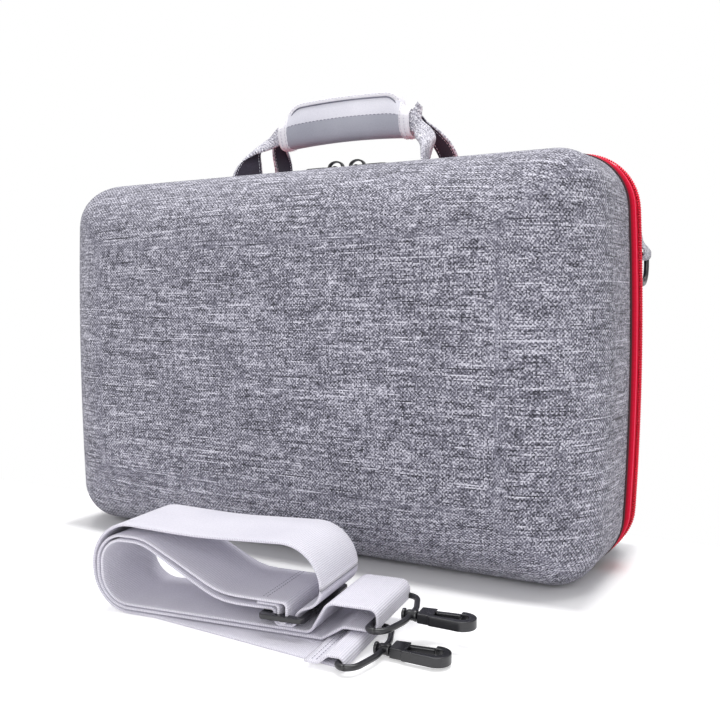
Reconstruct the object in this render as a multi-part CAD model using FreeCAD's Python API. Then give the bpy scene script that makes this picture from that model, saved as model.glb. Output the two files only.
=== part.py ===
import FreeCAD, Part
import math
import os

# Carrying case for a games console: two moulded half shells joined by a zip
# round three sides and a fabric hinge along the bottom, with a padded carrying
# handle and a shoulder strap that clips on and is shown taken off.
# Millimetres, +Z up, front half towards -Y, floor at z = 0. Everything is built
# about the zip plane and then moved so that the case is centred on the origin.

V = FreeCAD.Vector

# half shells
case_width = 393.0
case_height = 250.0
front_depth = 83.0
back_depth = 52.0
wall = 4.0
zip_half = 10.0
rim_corner = 28.0
front_corner = 16.0
side_radius = 2200.0
front_round = 50.0
back_round = 38.0
front_draft = 2.8
back_draft = 6.0
back_inset = 2.0
rest_trim = 0.4
beyond = 2 * case_width

# zip
tape_side = 3.2
tape_top = 0.4
tape_in = 1.6
coil_side = 4.2
coil_top = 1.4
coil_in = 0.6
coil_width = 1.2
coil_gap = 1.2
zip_end = 9.0
slider_length = 16.0
slider_half = 6.5
slider_gap = 0.5
slider_plate = 2.2
run_gap = 0.45
post_half = 0.75
bridge_height = 9.2
bridge_wall = 1.6
bridge_inset = 1.8
bridge_half = 1.5
pull_bar = 0.9
pull_length = 24.0
pull_half = 4.5
pull_arm = 1.4
pull_thick = 1.8

# fabric hinge
hinge_half = 166.0
hinge_thick = 1.6
hinge_gap = 0.3

# carrying handle
web_width = 22.0
web_thick = 2.2
grip_half = 51.0
grip_rise = 34.0
grip_z = case_height + grip_rise
web_apart = 4.2
wrap_wall = 3.2
wrap_gap = 0.5
wrap_round = 8.0
wrap_corner = 12.0
grip_end = 1.5
tuck_low = 9.5
tuck_high = 4.0

# The right leg of each loop, from the grip down to the foot. Each row has the x past
# the grip's end, the y past the rim and the z above the case's top, first of the
# webbing's outer edge and then of its inner edge.
front_leg = [(6.5, 9.5, 0.5, -5.8, 21.3, 35.0),
             (13.0, 15.5, 9.5, -4.5, 17.4, 29.0),
             (17.8, 17.0, 17.0, -1.5, 12.3, 20.0),
             (20.0, 15.5, 22.0, 0.8, 6.5, 11.0),
             (21.3, 14.5, 25.0, 1.2, 0.0, 0.5),
             (21.3, 14.5, 25.5, 1.2, -3.2, -2.2)]
back_leg = [(6.0, 8.5, 2.0, -5.8, 22.0, 35.0),
            (11.5, 15.0, 15.0, -4.0, 19.0, 28.5),
            (15.0, 16.5, 22.0, -1.5, 12.0, 19.5),
            (17.0, 16.0, 25.5, 0.8, 5.5, 10.0),
            (17.3, 16.0, 26.4, 1.2, -2.0, -0.5),
            (17.3, 16.0, 26.4, 1.2, -6.4, -4.0)]

# rings for the shoulder strap
tab_width = 20.0
tab_thick = 2.6
tab_y = 27.0
tab_drop = 24.0
tab_length = 35.0
tab_top = case_height - tab_drop
tab_bottom = tab_top - tab_length
tab_loop = 3.8
d_wire = 1.6
d_half = 12.5
d_drop = 18.0
d_facets = 6
d_gap = 0.5

# inside
foam_gap = 0.3
tray_face = 26.0
recess_width = 290.0
recess_height = 150.0
recess_depth = 52.0
pad_thick = 14.0

# shoulder strap
strap_x = 35.0
strap_y = -172.0
strap_yaw = 7.0
strap_width = 47.0
strap_thick = 1.5
layer_gap = 0.65
strap_top = 48.0
strap_left = -77.0
strap_right = 53.5
loop_nest = 2.7
inner_top = 41.0
floor_turn = -40.0
ring_wire = 2.0
ring_gap = 0.3
ring_a_u = 74.0
ring_a_v = 3.8
ring_a_w = -25.6
ring_b_u = 80.0
ring_b_v = 13.0
ring_b_w = -4.0
ring_edge = 1.0
ring_shoulder = 8.5
ring_reach = 13.0
ring_nose = 9.0
collar = 3.6
collar_back = 2.1
collar_front = 3.6
swivel_gap = 0.5
head_length = 1.5
head_rim = 1.4
stem = 1.5
stem_gap = 0.4
hook_length = 28.0
hook_half = 7.0
hook_thick = 6.0
hook_eye = 3.4
nose_length = 1.4
gate_width = 3.0
gate_thick = 3.6
gate_gap = 0.3
gate_pin = 0.9
gate_inset = 3.6
gate_room = 1.7
glide_v = 11.4
glide_c = 35.5
glide_pitch = 10.5
glide_bar = 3.5
glide_thick = 2.5
glide_rod = 1.5
glide_rail = 4.0


def box(x0, x1, y0, y1, z0, z1):
    return Part.makeBox(x1 - x0, y1 - y0, z1 - z0, V(x0, y0, z0))


def rod(a, b, r):
    a, b = V(*a), V(*b)
    d = b - a
    return Part.makeCylinder(r, d.Length, a, d)


def fuse(shapes):
    out = shapes[0].multiFuse(shapes[1:])
    return out.removeSplitter()


def outline(w, z0, z1, rho, y):
    """Closed rounded outline with slightly bowed sides, in the plane y."""
    zc = (z0 + z1) / 2
    hh = (z1 - z0) / 2
    cx = w - side_radius
    xc = cx + math.sqrt((side_radius - rho) ** 2 - (hh - rho) ** 2)
    a = math.atan2(hh - rho, xc - cx)
    tx = cx + side_radius * math.cos(a)
    tz = side_radius * math.sin(a)
    m = (a + math.pi / 2) / 2
    mx = xc + rho * math.cos(m)
    mz = hh - rho + rho * math.sin(m)

    def p(x, z):
        return V(x, y, zc + z)

    def arc(a1, b1, c1):
        return Part.Arc(p(*a1), p(*b1), p(*c1)).toShape()

    edges = [arc((tx, -tz), (w, 0), (tx, tz)),
             arc((tx, tz), (mx, mz), (xc, hh)),
             Part.makeLine(p(xc, hh), p(-xc, hh)),
             arc((-xc, hh), (-mx, mz), (-tx, tz)),
             arc((-tx, tz), (-w, 0), (-tx, -tz)),
             arc((-tx, -tz), (-mx, -mz), (-xc, -hh)),
             Part.makeLine(p(-xc, -hh), p(xc, -hh)),
             arc((xc, -hh), (mx, -mz), (tx, -tz))]
    return Part.Wire(edges)


def half(side, inset, depth, draft, rnd, off, extra):
    """Solid half of the case; off shrinks it all round, extra runs past the rim."""
    slope = math.tan(math.radians(draft))
    r = rnd - off
    flat = depth - rnd
    wires = []
    low = -rest_trim if off == 0 else off
    stations = [(-extra, 0.0), (0.0, 0.0), (flat * 0.5, 0.0), (flat, 0.0)]
    if extra == 0:
        stations = stations[1:]
    for k in (18, 36, 54, 72, 90):
        a = math.radians(k)
        stations.append((flat + r * math.sin(a), r * (1 - math.cos(a))))
    for t, fi in stations:
        d = max(t, 0.0) * slope + inset + off
        w = case_width / 2 - d - fi
        top = case_height - d - fi
        bottom = low + fi
        rho = rim_corner - d + (front_corner - rim_corner) * fi / r
        wires.append(outline(w, bottom, top, rho, side * (zip_half + t)))
    return Part.makeLoft(wires, True, False)


def floor_cut(s):
    return s.cut(box(-beyond, beyond, -beyond, beyond, -beyond, 0))


def band(side, top, inn, y0, y1):
    """Strip following the rim, open along the bottom and proudest at the sides."""
    w = case_width / 2
    a = Part.Face(outline(w + side, -top, case_height + top, rim_corner + top, y0))
    b = Part.Face(outline(w - inn, inn, case_height - inn, rim_corner - inn, y0))
    s = a.extrude(V(0, y1 - y0, 0)).cut(b.extrude(V(0, y1 - y0, 0)))
    return s.cut(box(-beyond, beyond, -beyond, beyond, -beyond, zip_end))


def leg_section(low, high, along):
    """Rectangle of the handle webbing between its two edges at one place along its run."""
    wide = high - low
    wide.normalize()
    through = along.cross(wide)
    through.normalize()
    t = through * (web_thick / 2)
    return Part.makePolygon([low - t, high - t, high + t, low + t, low - t])


def handle_web(s, rows):
    """Loop of webbing, s = -1 for the front half and +1 for the back half."""
    reach = grip_half + grip_end
    low_z = grip_z - tuck_low
    high_z = grip_z + tuck_high
    lows = [V(reach, s * web_apart, low_z)]
    highs = [V(reach, s * web_apart, high_z)]
    for x_low, x_high, y_low, y_high, z_low, z_high in rows:
        lows.append(V(grip_half + x_low, s * (zip_half + y_low), case_height + z_low))
        highs.append(V(grip_half + x_high, s * (zip_half + y_high), case_height + z_high))
    mids = [(low + high) * 0.5 for low, high in zip(lows, highs)]
    alongs = [V(1, 0, 0)]
    alongs += [mids[k + 1] - mids[k - 1] for k in range(1, len(mids) - 1)]
    alongs.append(mids[-1] - mids[-2])
    right = Part.makeLoft([leg_section(*r) for r in zip(lows, highs, alongs)], True, False)
    left = right.mirror(V(0, 0, 0), V(1, 0, 0))
    y0 = s * web_apart - web_thick / 2
    y1 = s * web_apart + web_thick / 2
    inside = grip_half - grip_end
    mid = box(-inside, inside, y0, y1, grip_z - web_width / 2, grip_z + web_width / 2)
    ends = box(-reach, reach, y0, y1, low_z, high_z)
    return fuse([right, mid, ends, left])


def rounded_bar(x0, x1, y, z0, z1, r):
    b = box(x0, x1, -y, y, z0, z1)
    long_edges = [e for e in b.Edges if abs(e.tangentAt(e.FirstParameter).x) > 0.9]
    return b.makeFillet(r, long_edges)


def grip_wrap():
    """Padded wrap round both loops, open towards the back, with rounded top corners."""
    z0 = grip_z - web_width / 2 - wrap_gap
    z1 = grip_z + web_width / 2 + wrap_gap
    y = web_apart + web_thick / 2 + wrap_gap
    deep = y + wrap_wall
    outer = rounded_bar(-grip_half, grip_half, deep, z0 - wrap_wall, z1 + wrap_wall, wrap_round)
    flap = box(-grip_half, grip_half, -deep - 1, deep + 1, z0 - wrap_wall, z1 + wrap_wall)
    corners = [e for e in flap.Edges
               if abs(e.tangentAt(e.FirstParameter).y) > 0.9 and e.CenterOfMass.z > grip_z]
    outer = outer.common(flap.makeFillet(wrap_corner, corners))
    return outer.cut(box(-grip_half - 1, grip_half + 1, -y, deep + 1, z0, z1))


def slider(s):
    """Zip slider on the top run; s = -1 sits left of the middle."""
    x0 = slider_gap
    x1 = slider_gap + slider_length
    top0 = case_height + coil_top + run_gap
    top1 = top0 + slider_plate
    low1 = case_height - tape_in - run_gap
    low0 = low1 - slider_plate
    parts = [box(x0, x1, -slider_half, slider_half, top0, top1),
             box(x0, x1, -slider_half, slider_half, low0, low1),
             box(x0 + 1.5, x0 + 7.5, -post_half, post_half, low1 - 0.5, top0 + 0.5)]
    xm = (x0 + x1) / 2
    r = slider_length / 2 - bridge_inset
    spring = top1 + bridge_height - r
    arch = rod((xm, -bridge_half, spring), (xm, bridge_half, spring), r)
    arch = arch.fuse(box(xm - r, xm + r, -bridge_half, bridge_half, top1 - 0.4, spring))
    hole = rod((xm, -bridge_half - 1, spring), (xm, bridge_half + 1, spring), r - bridge_wall)
    hole = hole.fuse(box(xm - r + bridge_wall, xm + r - bridge_wall, -bridge_half - 1, bridge_half + 1,
                         top1, spring))
    arch = arch.cut(box(xm - 2 * r, xm + 2 * r, -bridge_half, bridge_half, 0, top1 - 0.4)).cut(hole)
    out = fuse(parts + [arch])
    return out if s > 0 else out.mirror(V(0, 0, 0), V(1, 0, 0))


def pull_axis():
    top1 = case_height + coil_top + run_gap + slider_plate
    xm = slider_gap + slider_length / 2
    return xm, top1 + pull_bar + 0.5


def pull(s):
    xm, za = pull_axis()
    arm = bridge_half + 0.6
    x2 = xm + slider_length / 2 - bridge_inset + 1.2
    h = pull_thick / 2
    wide = arm + pull_arm
    tip = xm + pull_length - pull_half
    parts = [rod((xm, -wide, za), (xm, wide, za), pull_bar),
             box(xm, x2 + 1, -wide, -arm, za - h, za + h),
             box(xm, x2 + 1, arm, wide, za - h, za + h),
             rod((xm, -wide, za), (xm, -arm, za), h),
             rod((xm, arm, za), (xm, wide, za), h),
             box(x2, tip, -pull_half, pull_half, za - h, za + h),
             rod((tip, 0, za - h), (tip, 0, za + h), pull_half)]
    out = fuse(parts)
    return out if s > 0 else out.mirror(V(0, 0, 0), V(1, 0, 0))


def side_face_x():
    """Side of the back half at the height and depth of the ring tab."""
    d = (tab_y - zip_half) * math.tan(math.radians(back_draft)) + back_inset
    z = (tab_bottom + tab_top) / 2 - case_height / 2
    return case_width / 2 - d - z * z / (2 * side_radius)


def d_center():
    return side_face_x() + tab_loop + 0.8, tab_y, tab_bottom


def ring_tab(s, back_solid):
    cx, cy, cz = d_center()
    y0 = cy - tab_width / 2
    y1 = cy + tab_width / 2
    plate = box(cx - tab_loop - 8, cx - tab_loop + tab_thick, y0, y1, cz, tab_top)
    tube = rod((cx, y0, cz), (cx, y1, cz), tab_loop)
    tab = plate.fuse(tube).cut(rod((cx, y0 - 1, cz), (cx, y1 + 1, cz), d_wire + d_gap))
    if s < 0:
        tab = tab.mirror(V(0, 0, 0), V(1, 0, 0))
    return tab.cut(back_solid).removeSplitter()


def wire_ring(points, radius):
    """Closed ring of round wire through flat points, mitred where the runs meet."""
    n = len(points)
    spots = [V(*q) for q in points]
    runs = []
    for i in range(n):
        p, q = spots[i], spots[(i + 1) % n]
        along = (q - p).normalize()
        run = Part.makeCylinder(radius, p.distanceToPoint(q) + 6 * radius, p - along * (3 * radius), along)
        for at, other in ((p, spots[i - 1]), (q, spots[(i + 2) % n])):
            inward = along if at == p else along * -1
            miter = (other - at).normalize() - inward
            run = run.cut(Part.makeCylinder(5 * radius, 9 * radius, at, miter))
        runs.append(run)
    return fuse(runs)


def d_ring(s):
    x, y, z = d_center()
    turn = z - d_drop + d_half
    points = [(s * x, y - d_half, z), (s * x, y + d_half, z)]
    for k in range(d_facets + 1):
        a = math.pi * k / d_facets
        points.append((s * x, y + d_half * math.cos(a), turn - d_half * math.sin(a)))
    return wire_ring(points, d_wire)


def strip(points, wc):
    """Webbing along a path of (u, v, bend radius), extruded across its width."""
    n = len(points)
    marks = []
    for i, q in enumerate(points):
        c = V(q[0], 0, q[1])
        if i in (0, n - 1):
            marks.append((c, c, None, 0.0, 0.0))
            continue
        a = V(points[i - 1][0], 0, points[i - 1][1]) - c
        b = V(points[i + 1][0], 0, points[i + 1][1]) - c
        a.normalize()
        b.normalize()
        ang = a.getAngle(b)
        cut = q[2] / math.tan(ang / 2)
        mid = a + b
        mid.normalize()
        center = c + mid * (q[2] / math.sin(ang / 2))
        turn = (a * -1).cross(b).y
        marks.append((c + a * cut, c + b * cut, center, q[2], turn))

    def edge_row(side):
        edges = []
        last = None
        for i, (p, q, center, r, turn) in enumerate(marks):
            nxt = marks[i + 1][0] if i < n - 1 else None
            if center is None:
                d = (nxt - q) if nxt else (p - marks[i - 1][1])
                d.normalize()
                e = p + V(d.z, 0, -d.x) * (side * strap_thick / 2)
                if last is not None:
                    edges.append(Part.makeLine(last, e))
                last = e
                continue
            d1 = p - center
            d2 = q - center
            rad = r + strap_thick / 2 * (-1 if turn * side > 0 else 1)
            d1.normalize()
            d2.normalize()
            dm = d1 + d2
            dm.normalize()
            a = center + d1 * rad
            b = center + d2 * rad
            if last.distanceToPoint(a) > 1e-4:
                edges.append(Part.makeLine(last, a))
            edges.append(Part.Arc(a, center + dm * rad, b).toShape())
            last = b
        return edges, last

    one, end_one = edge_row(1)
    two, end_two = edge_row(-1)
    start = [Part.makeLine(one[0].Vertexes[0].Point, two[0].Vertexes[0].Point)]
    stop = [Part.makeLine(end_one, end_two)]
    wire = Part.Wire(Part.__sortEdges__(one + stop + two + start))
    face = Part.Face(wire)
    face.translate(V(0, wc - strap_width / 2, 0))
    return face.extrude(V(0, strap_width, 0))


def plate_run(u0, w0, u1, w1, v):
    """Straight run of webbing that drifts sideways from w0 to w1."""
    b = strap_width / 2
    z = v - strap_thick / 2
    pts = [V(u0, w0 - b, z), V(u1, w1 - b, z), V(u1, w1 + b, z), V(u0, w0 + b, z), V(u0, w0 - b, z)]
    return Part.Face(Part.makePolygon(pts)).extrude(V(0, 0, strap_thick))


def strap_webbing():
    pitch = strap_thick + layer_gap
    lay1 = strap_thick / 2
    lay2 = lay1 + pitch
    lay3 = lay2 + pitch
    fold = ring_wire + ring_gap + strap_thick / 2
    ua, va = ring_a_u, ring_a_v
    ub, vb = ring_b_u, ring_b_v
    gc, gv = glide_c, glide_v
    slot = glide_pitch / 2
    wrap = glide_rod + ring_gap + strap_thick / 2
    under = gv - wrap - pitch
    over = gv + wrap
    fold_v = over + pitch
    sewn_v = fold_v + pitch
    left2 = strap_left + loop_nest
    left3 = left2 + pitch + layer_gap / 2
    inner2 = inner_top
    inner3 = inner2 - pitch - layer_gap / 2
    turn = floor_turn
    arch_v = vb + fold + 2 * pitch
    end_a = strip([(ua - 16, lay2, 0), (ua - 9.5, lay2, 3), (ua - 5, va + fold, 3),
                   (ua + fold, va + fold, fold), (ua + fold, va - fold, fold), (ua - 14, va - fold, 0)],
                  ring_a_w)
    run1 = plate_run(ua - 14, ring_a_w, turn, 0.0, lay1)
    main = strip([(turn, lay1, 0), (strap_left, lay1, 22.4), (strap_left, strap_top, 22),
                  (strap_right, strap_top, 14), (strap_right, strap_top / 2, 12),
                  (gc + slot, gv + glide_thick, 8), (gc + slot, under, 2.2), (gc - slot, under, 2.2),
                  (gc - slot, over, 2.2), (-1, over, 40), (-46.7, inner3, 26), (left3, inner3, 12.6),
                  (left3, lay3, 16.4), (turn, lay3, 0)], 0.0)
    run3 = plate_run(turn, 0.0, gc + 9, ring_b_w, lay3)
    end_b = strip([(gc + 9, lay3, 0), (gc + 13.5, lay3, 5), (gc + 22.5, arch_v, 6),
                   (ub + fold, arch_v, 4), (ub + fold, vb - fold, fold), (ub - 14, vb - fold, 5),
                   (ub - 25, lay2, 5), (ub - 30, lay2, 0)], ring_b_w)
    run2 = plate_run(ub - 30, ring_b_w, turn, 0.0, lay2)
    sewn = strip([(turn, lay2, 0), (left2, lay2, 19), (left2, inner2, 15), (-46, inner2, 28),
                  (0, sewn_v, 40), (gc + wrap, sewn_v, wrap), (gc + wrap, gv - wrap, wrap),
                  (gc - wrap, gv - wrap, wrap), (gc - wrap, fold_v, 2), (gc - 15, fold_v, 0)], 0.0)
    return fuse([end_a, run1, main, run3, end_b, run2, sewn])


def tri_glide():
    u0 = glide_c - glide_pitch
    u1 = glide_c + glide_pitch
    b = glide_bar / 2
    w_in = strap_width / 2 + ring_edge
    z0 = glide_v - glide_thick / 2
    z1 = glide_v + glide_thick / 2
    frame = box(u0 - b, u1 + b, -w_in - glide_rail, w_in + glide_rail, z0, z1)
    frame = frame.makeFillet(3.0, [e for e in frame.Edges
                                   if abs(e.tangentAt(e.FirstParameter).z) > 0.9])
    frame = frame.cut(box(u0 + b, u1 - b, -w_in, w_in, z0 - 1, z1 + 1))
    bar = rod((glide_c, -w_in - 1, glide_v), (glide_c, w_in + 1, glide_v), glide_rod)
    return frame.fuse(bar).removeSplitter()


def strap_ring(u, v, w):
    half_bar = strap_width / 2 + ring_edge + ring_wire
    rows = [(0, -half_bar), (0, half_bar), (ring_shoulder, half_bar - 1.5), (ring_reach, ring_nose),
            (ring_reach, -ring_nose), (ring_shoulder, -half_bar + 1.5)]
    ring = wire_ring([(u + a, w + b, v) for a, b in rows], ring_wire)
    nose = u + ring_reach
    ring = ring.fuse(rod((nose - collar_back, w, v), (nose + collar_front, w, v), collar))
    bore = rod((u + ring_wire + 1, w, v), (nose + 2 * collar_front, w, v), stem + stem_gap)
    return ring.cut(bore).removeSplitter()


def hook_start(u):
    return u + ring_reach + collar_front + swivel_gap


def hook_body(u, v, w):
    s = hook_start(u)
    t = hook_thick / 2
    h = hook_half
    e = hook_eye
    far = s + hook_length - h
    base = box(s, s + 7.5, w - h + 1, w + h, v - t, v + t)
    spine = box(s + 6, far, w - h, w - e, v - t, v + t)
    bow = rod((far, w, v - t), (far, w, v + t), h).cut(rod((far, w, v - t - 1), (far, w, v + t + 1), e))
    bow = bow.cut(box(s, far, w - 2 * h, w + 2 * h, v - 2 * t, v + 2 * t))
    nose = box(far - nose_length, far, w + e, w + h, v - t, v + t)
    neck = u + ring_reach - collar_back - swivel_gap
    shank = rod((neck, w, v), (s + 1, w, v), stem)
    head = rod((neck - head_length, w, v), (neck, w, v), stem + head_rim)
    body = fuse([base, spine, bow, nose, shank, head])
    slot = gate_thick / 2 + gate_gap
    body = body.cut(box(s + 1.2, s + 9, w + e - gate_room, w + h + 1, v - slot, v + slot))
    gu, gw = gate_pivot(u, w)
    return body.fuse(rod((gu, gw, v - t + 0.2), (gu, gw, v + t - 0.2), gate_pin)).removeSplitter()


def gate_pivot(u, w):
    return hook_start(u) + gate_inset, w + (hook_eye + hook_half) / 2


def hook_gate(u, v, w):
    gu, gw = gate_pivot(u, w)
    end = hook_start(u) + hook_length - hook_half - nose_length - gate_gap
    h = gate_thick / 2
    bar = box(gu, end, gw - gate_width / 2, gw + gate_width / 2, v - h, v + h)
    eye = rod((gu, gw, v - h), (gu, gw, v + h), gate_pin + gate_gap + 0.7)
    bore = rod((gu, gw, v - 2 * h), (gu, gw, v + 2 * h), gate_pin + gate_gap)
    return bar.fuse(eye).cut(bore).removeSplitter()


def lay_down(s):
    """Put a strap part, built straight along X, where the strap lies on the floor."""
    s.rotate(V(0, 0, 0), V(0, 0, 1), strap_yaw)
    s.translate(V(strap_x, strap_y, 0))
    return s


parts = {}

front_solid = floor_cut(half(-1, 0.0, front_depth, front_draft, front_round, 0, 0))
front_void = half(-1, 0.0, front_depth, front_draft, front_round, wall, 2.0)
back_solid = floor_cut(half(1, back_inset, back_depth, back_draft, back_round, 0, 0))
back_void = half(1, back_inset, back_depth, back_draft, back_round, wall, 2.0)

front_web = handle_web(-1, front_leg)
back_web = handle_web(1, back_leg)
parts["front_shell"] = front_solid.cut(front_void).cut(front_web)
parts["back_shell"] = back_solid.cut(back_void).cut(back_web)
parts["front_handle_web"] = front_web
parts["back_handle_web"] = back_web
parts["grip_wrap"] = grip_wrap()

front_tape = band(tape_side, tape_top, tape_in, -zip_half, -coil_gap - coil_width)
front_coil = band(coil_side, coil_top, coil_in, -coil_gap - coil_width, -coil_gap)
parts["front_zip_tape"] = front_tape.fuse(front_coil).removeSplitter()
parts["back_zip_tape"] = parts["front_zip_tape"].mirror(V(0, 0, 0), V(0, 1, 0))
parts["front_hinge_flap"] = box(-hinge_half, hinge_half, -zip_half, -hinge_gap, 0, hinge_thick)
parts["back_hinge_flap"] = box(-hinge_half, hinge_half, hinge_gap, zip_half, 0, hinge_thick)

for name, s in (("left", -1), ("right", 1)):
    parts[name + "_slider"] = slider(s)
    parts[name + "_pull"] = pull(s)
    parts[name + "_ring_tab"] = ring_tab(s, back_solid)
    parts[name + "_d_ring"] = d_ring(s)

tray_limit = box(-beyond, beyond, -beyond, -tray_face, -beyond, beyond)
tray = half(-1, 0.0, front_depth, front_draft, front_round, wall + foam_gap, 2.0).common(tray_limit)
recess_mid = case_height / 2
recess = box(-recess_width / 2, recess_width / 2, -tray_face - recess_depth, -tray_face + 1,
             recess_mid - recess_height / 2, recess_mid + recess_height / 2)
recess = recess.makeFillet(18.0, [e for e in recess.Edges if abs(e.tangentAt(e.FirstParameter).y) > 0.9])
parts["foam_tray"] = tray.cut(recess)
pad_front = zip_half + back_depth - wall - pad_thick
pad_limit = box(-beyond, beyond, pad_front, beyond, -beyond, beyond)
pad_body = half(1, back_inset, back_depth, back_draft, back_round, wall + foam_gap, 2.0)
parts["lid_pad"] = pad_body.common(pad_limit)

parts["strap_webbing"] = lay_down(strap_webbing())
parts["tri_glide"] = lay_down(tri_glide())
for name, u, v, w in (("a", ring_a_u, ring_a_v, ring_a_w), ("b", ring_b_u, ring_b_v, ring_b_w)):
    parts["strap_ring_" + name] = lay_down(strap_ring(u, v, w))
    parts["hook_" + name] = lay_down(hook_body(u, v, w))
    parts["gate_" + name] = lay_down(hook_gate(u, v, w))

os.makedirs("parts", exist_ok=True)
middle = (front_depth - back_depth) / 2
for name, shape in parts.items():
    shape.translate(V(0, middle, 0))
    shape.exportStep("parts/" + name + ".step")
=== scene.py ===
import math

import bmesh
import bpy
from mathutils import Matrix, Vector


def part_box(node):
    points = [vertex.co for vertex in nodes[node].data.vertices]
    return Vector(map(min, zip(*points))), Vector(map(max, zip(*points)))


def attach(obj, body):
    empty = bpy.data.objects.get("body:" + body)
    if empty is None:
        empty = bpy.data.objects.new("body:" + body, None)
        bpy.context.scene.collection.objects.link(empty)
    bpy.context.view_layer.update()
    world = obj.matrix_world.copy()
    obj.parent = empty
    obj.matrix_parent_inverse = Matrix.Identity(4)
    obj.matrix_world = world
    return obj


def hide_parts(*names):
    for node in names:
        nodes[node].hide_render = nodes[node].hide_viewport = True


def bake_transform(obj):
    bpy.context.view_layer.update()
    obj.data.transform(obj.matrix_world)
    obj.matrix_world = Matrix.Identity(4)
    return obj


# Looks of a zipped clamshell carrying bag with a padded handle and a loose shoulder strap.
# Everything is in metres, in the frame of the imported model.

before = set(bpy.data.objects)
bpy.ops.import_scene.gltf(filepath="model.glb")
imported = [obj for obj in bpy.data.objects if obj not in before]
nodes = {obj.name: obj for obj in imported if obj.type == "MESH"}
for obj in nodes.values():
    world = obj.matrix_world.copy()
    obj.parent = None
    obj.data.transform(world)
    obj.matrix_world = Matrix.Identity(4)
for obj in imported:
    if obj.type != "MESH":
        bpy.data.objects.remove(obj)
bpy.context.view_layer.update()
MM = 0.001

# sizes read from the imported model
front_low, front_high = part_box("front_shell")
back_low, back_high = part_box("back_shell")
HALF_WIDTH = front_high.x
HEIGHT = front_high.z
FRONT_RIM = front_high.y
BACK_RIM = back_low.y
ZIP_Y = (FRONT_RIM + BACK_RIM) / 2
FRONT_DEPTH = front_high.y - front_low.y
BACK_DEPTH = back_high.y - back_low.y

# shell form
SIDE_RADIUS = 1.8
RIM_CORNER = 35 * MM
CAP_CORNER = 14 * MM
INNER_CORNER = 28 * MM
WALL = 4 * MM
CROWN = 1.2 * MM
FRONT_FORM = dict(depth=FRONT_DEPTH, round=50 * MM, draft=math.radians(2.8), inset=0.0)
BACK_FORM = dict(depth=BACK_DEPTH, round=38 * MM, draft=math.radians(6), inset=2 * MM)

# zip
TAPE_SIDE = 4.2 * MM
TAPE_TOP = 0.4 * MM
COIL_SIDE = 4.4 * MM
COIL_TOP = 0.7 * MM
ZIP_END = 9 * MM
ZIP_SINK = 28 * MM
# share of the zip's rise that is left at its sunk ends
ZIP_LOW = 0.15
TOOTH_PITCH = 1.5 * MM
TOOTH_HALF = 0.42 * MM
TOOTH_ROOT = 0.5 * MM
TOOTH_TOP = 0.7
# a dark wire along the shell's edge stands for the shade in the groove beside the zip: painted shade
SEAM_SHADE_OFF = 10 * MM
SEAM_SHADE_OUT = 0.15 * MM
SEAM_SHADE_RADIUS = 0.8 * MM
HINGE_LOW = 0.4 * MM
HINGE_INSET = 0.2 * MM
HINGE_STEPS = 24, 40

# handle
GRIP_HALF = 51 * MM
GRIP_Z = 284 * MM
GRIP_ARCH = 2.4 * MM
WEB_WIDTH = 22 * MM
WEB_THICK = 2.2 * MM
WEB_APART = 4.2 * MM

# shoulder strap
STRAP_AT = Vector((35 * MM, ZIP_Y - 172 * MM, 0))
STRAP_YAW = math.radians(7)
STRAP_WIDTH = 47 * MM
STRAP_THICK = 1.5 * MM

# camera of the reference view
CAMERA_AT = Vector((300.14 * MM, ZIP_Y - 528.7 * MM, 162.26 * MM))
CAMERA_YAW = math.radians(28.74)
CAMERA_PITCH = math.radians(-3.87)
CAMERA_ROLL = math.radians(0.13)
CAMERA_LENS = 43.05


# mesh helpers

def linked(name, mesh):
    """Object that shows a mesh, shaded smooth."""
    mesh.polygons.foreach_set("use_smooth", [True] * len(mesh.polygons))
    obj = bpy.data.objects.new(name, mesh)
    bpy.context.scene.collection.objects.link(obj)
    return obj


def new_object(name, verts, faces, uvs=None, material_ids=None, weld=0.0, solid=True):
    """Mesh object from points and faces, with UVs in metres given per point."""
    mesh = bpy.data.meshes.new(name)
    mesh.from_pydata([tuple(v) for v in verts], [], faces)
    if uvs is not None:
        layer = mesh.uv_layers.new(name="UVMap")
        for loop in mesh.loops:
            layer.data[loop.index].uv = uvs[loop.vertex_index]
    if material_ids is not None:
        mesh.polygons.foreach_set("material_index", material_ids)
    mesh.update()
    if solid:
        work = bmesh.new()
        work.from_mesh(mesh)
        if weld:
            bmesh.ops.remove_doubles(work, verts=work.verts, dist=weld)
        bmesh.ops.recalc_face_normals(work, faces=work.faces)
        work.to_mesh(mesh)
        work.free()
    return linked(name, mesh)


def rows_to_faces(rows, cols, close_cols=False, close_rows=False):
    """Quads of a grid of points stored row by row."""
    faces = []
    for i in range(rows if close_rows else rows - 1):
        for j in range(cols if close_cols else cols - 1):
            a = i * cols + j
            b = i * cols + (j + 1) % cols
            c = ((i + 1) % rows) * cols + (j + 1) % cols
            d = ((i + 1) % rows) * cols + j
            faces.append((a, b, c, d))
    return faces


def tube_faces(rows, cols, closed=False, caps=True):
    """Faces of a tube whose rings of points follow one another."""
    faces = rows_to_faces(rows, cols, True, closed)
    if caps and not closed:
        faces += [tuple(range(cols)), tuple(range((rows - 1) * cols, rows * cols))]
    return faces


def block(name, rows, cols, point):
    """Sheet with two faces and a rim; point(face, u, v) gives a place and its UV on face 0 or 1."""
    verts, uvs = [], []
    for face in (0, 1):
        for i in range(rows + 1):
            for j in range(cols + 1):
                place, uv = point(face, i / rows, j / cols)
                verts.append(place)
                uvs.append(uv)
    wide = cols + 1
    count = (rows + 1) * wide
    grid = rows_to_faces(rows + 1, wide)
    rim = list(range(wide)) + [i * wide + cols for i in range(1, rows + 1)]
    rim += [rows * wide + j for j in range(cols - 1, -1, -1)] + [i * wide for i in range(rows - 1, 0, -1)]
    faces = grid + [tuple(k + count for k in reversed(quad)) for quad in grid]
    faces += [(p, q, q + count, p + count) for p, q in zip(rim, rim[1:] + rim[:1])]
    return new_object(name, verts, faces, uvs)


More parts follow.
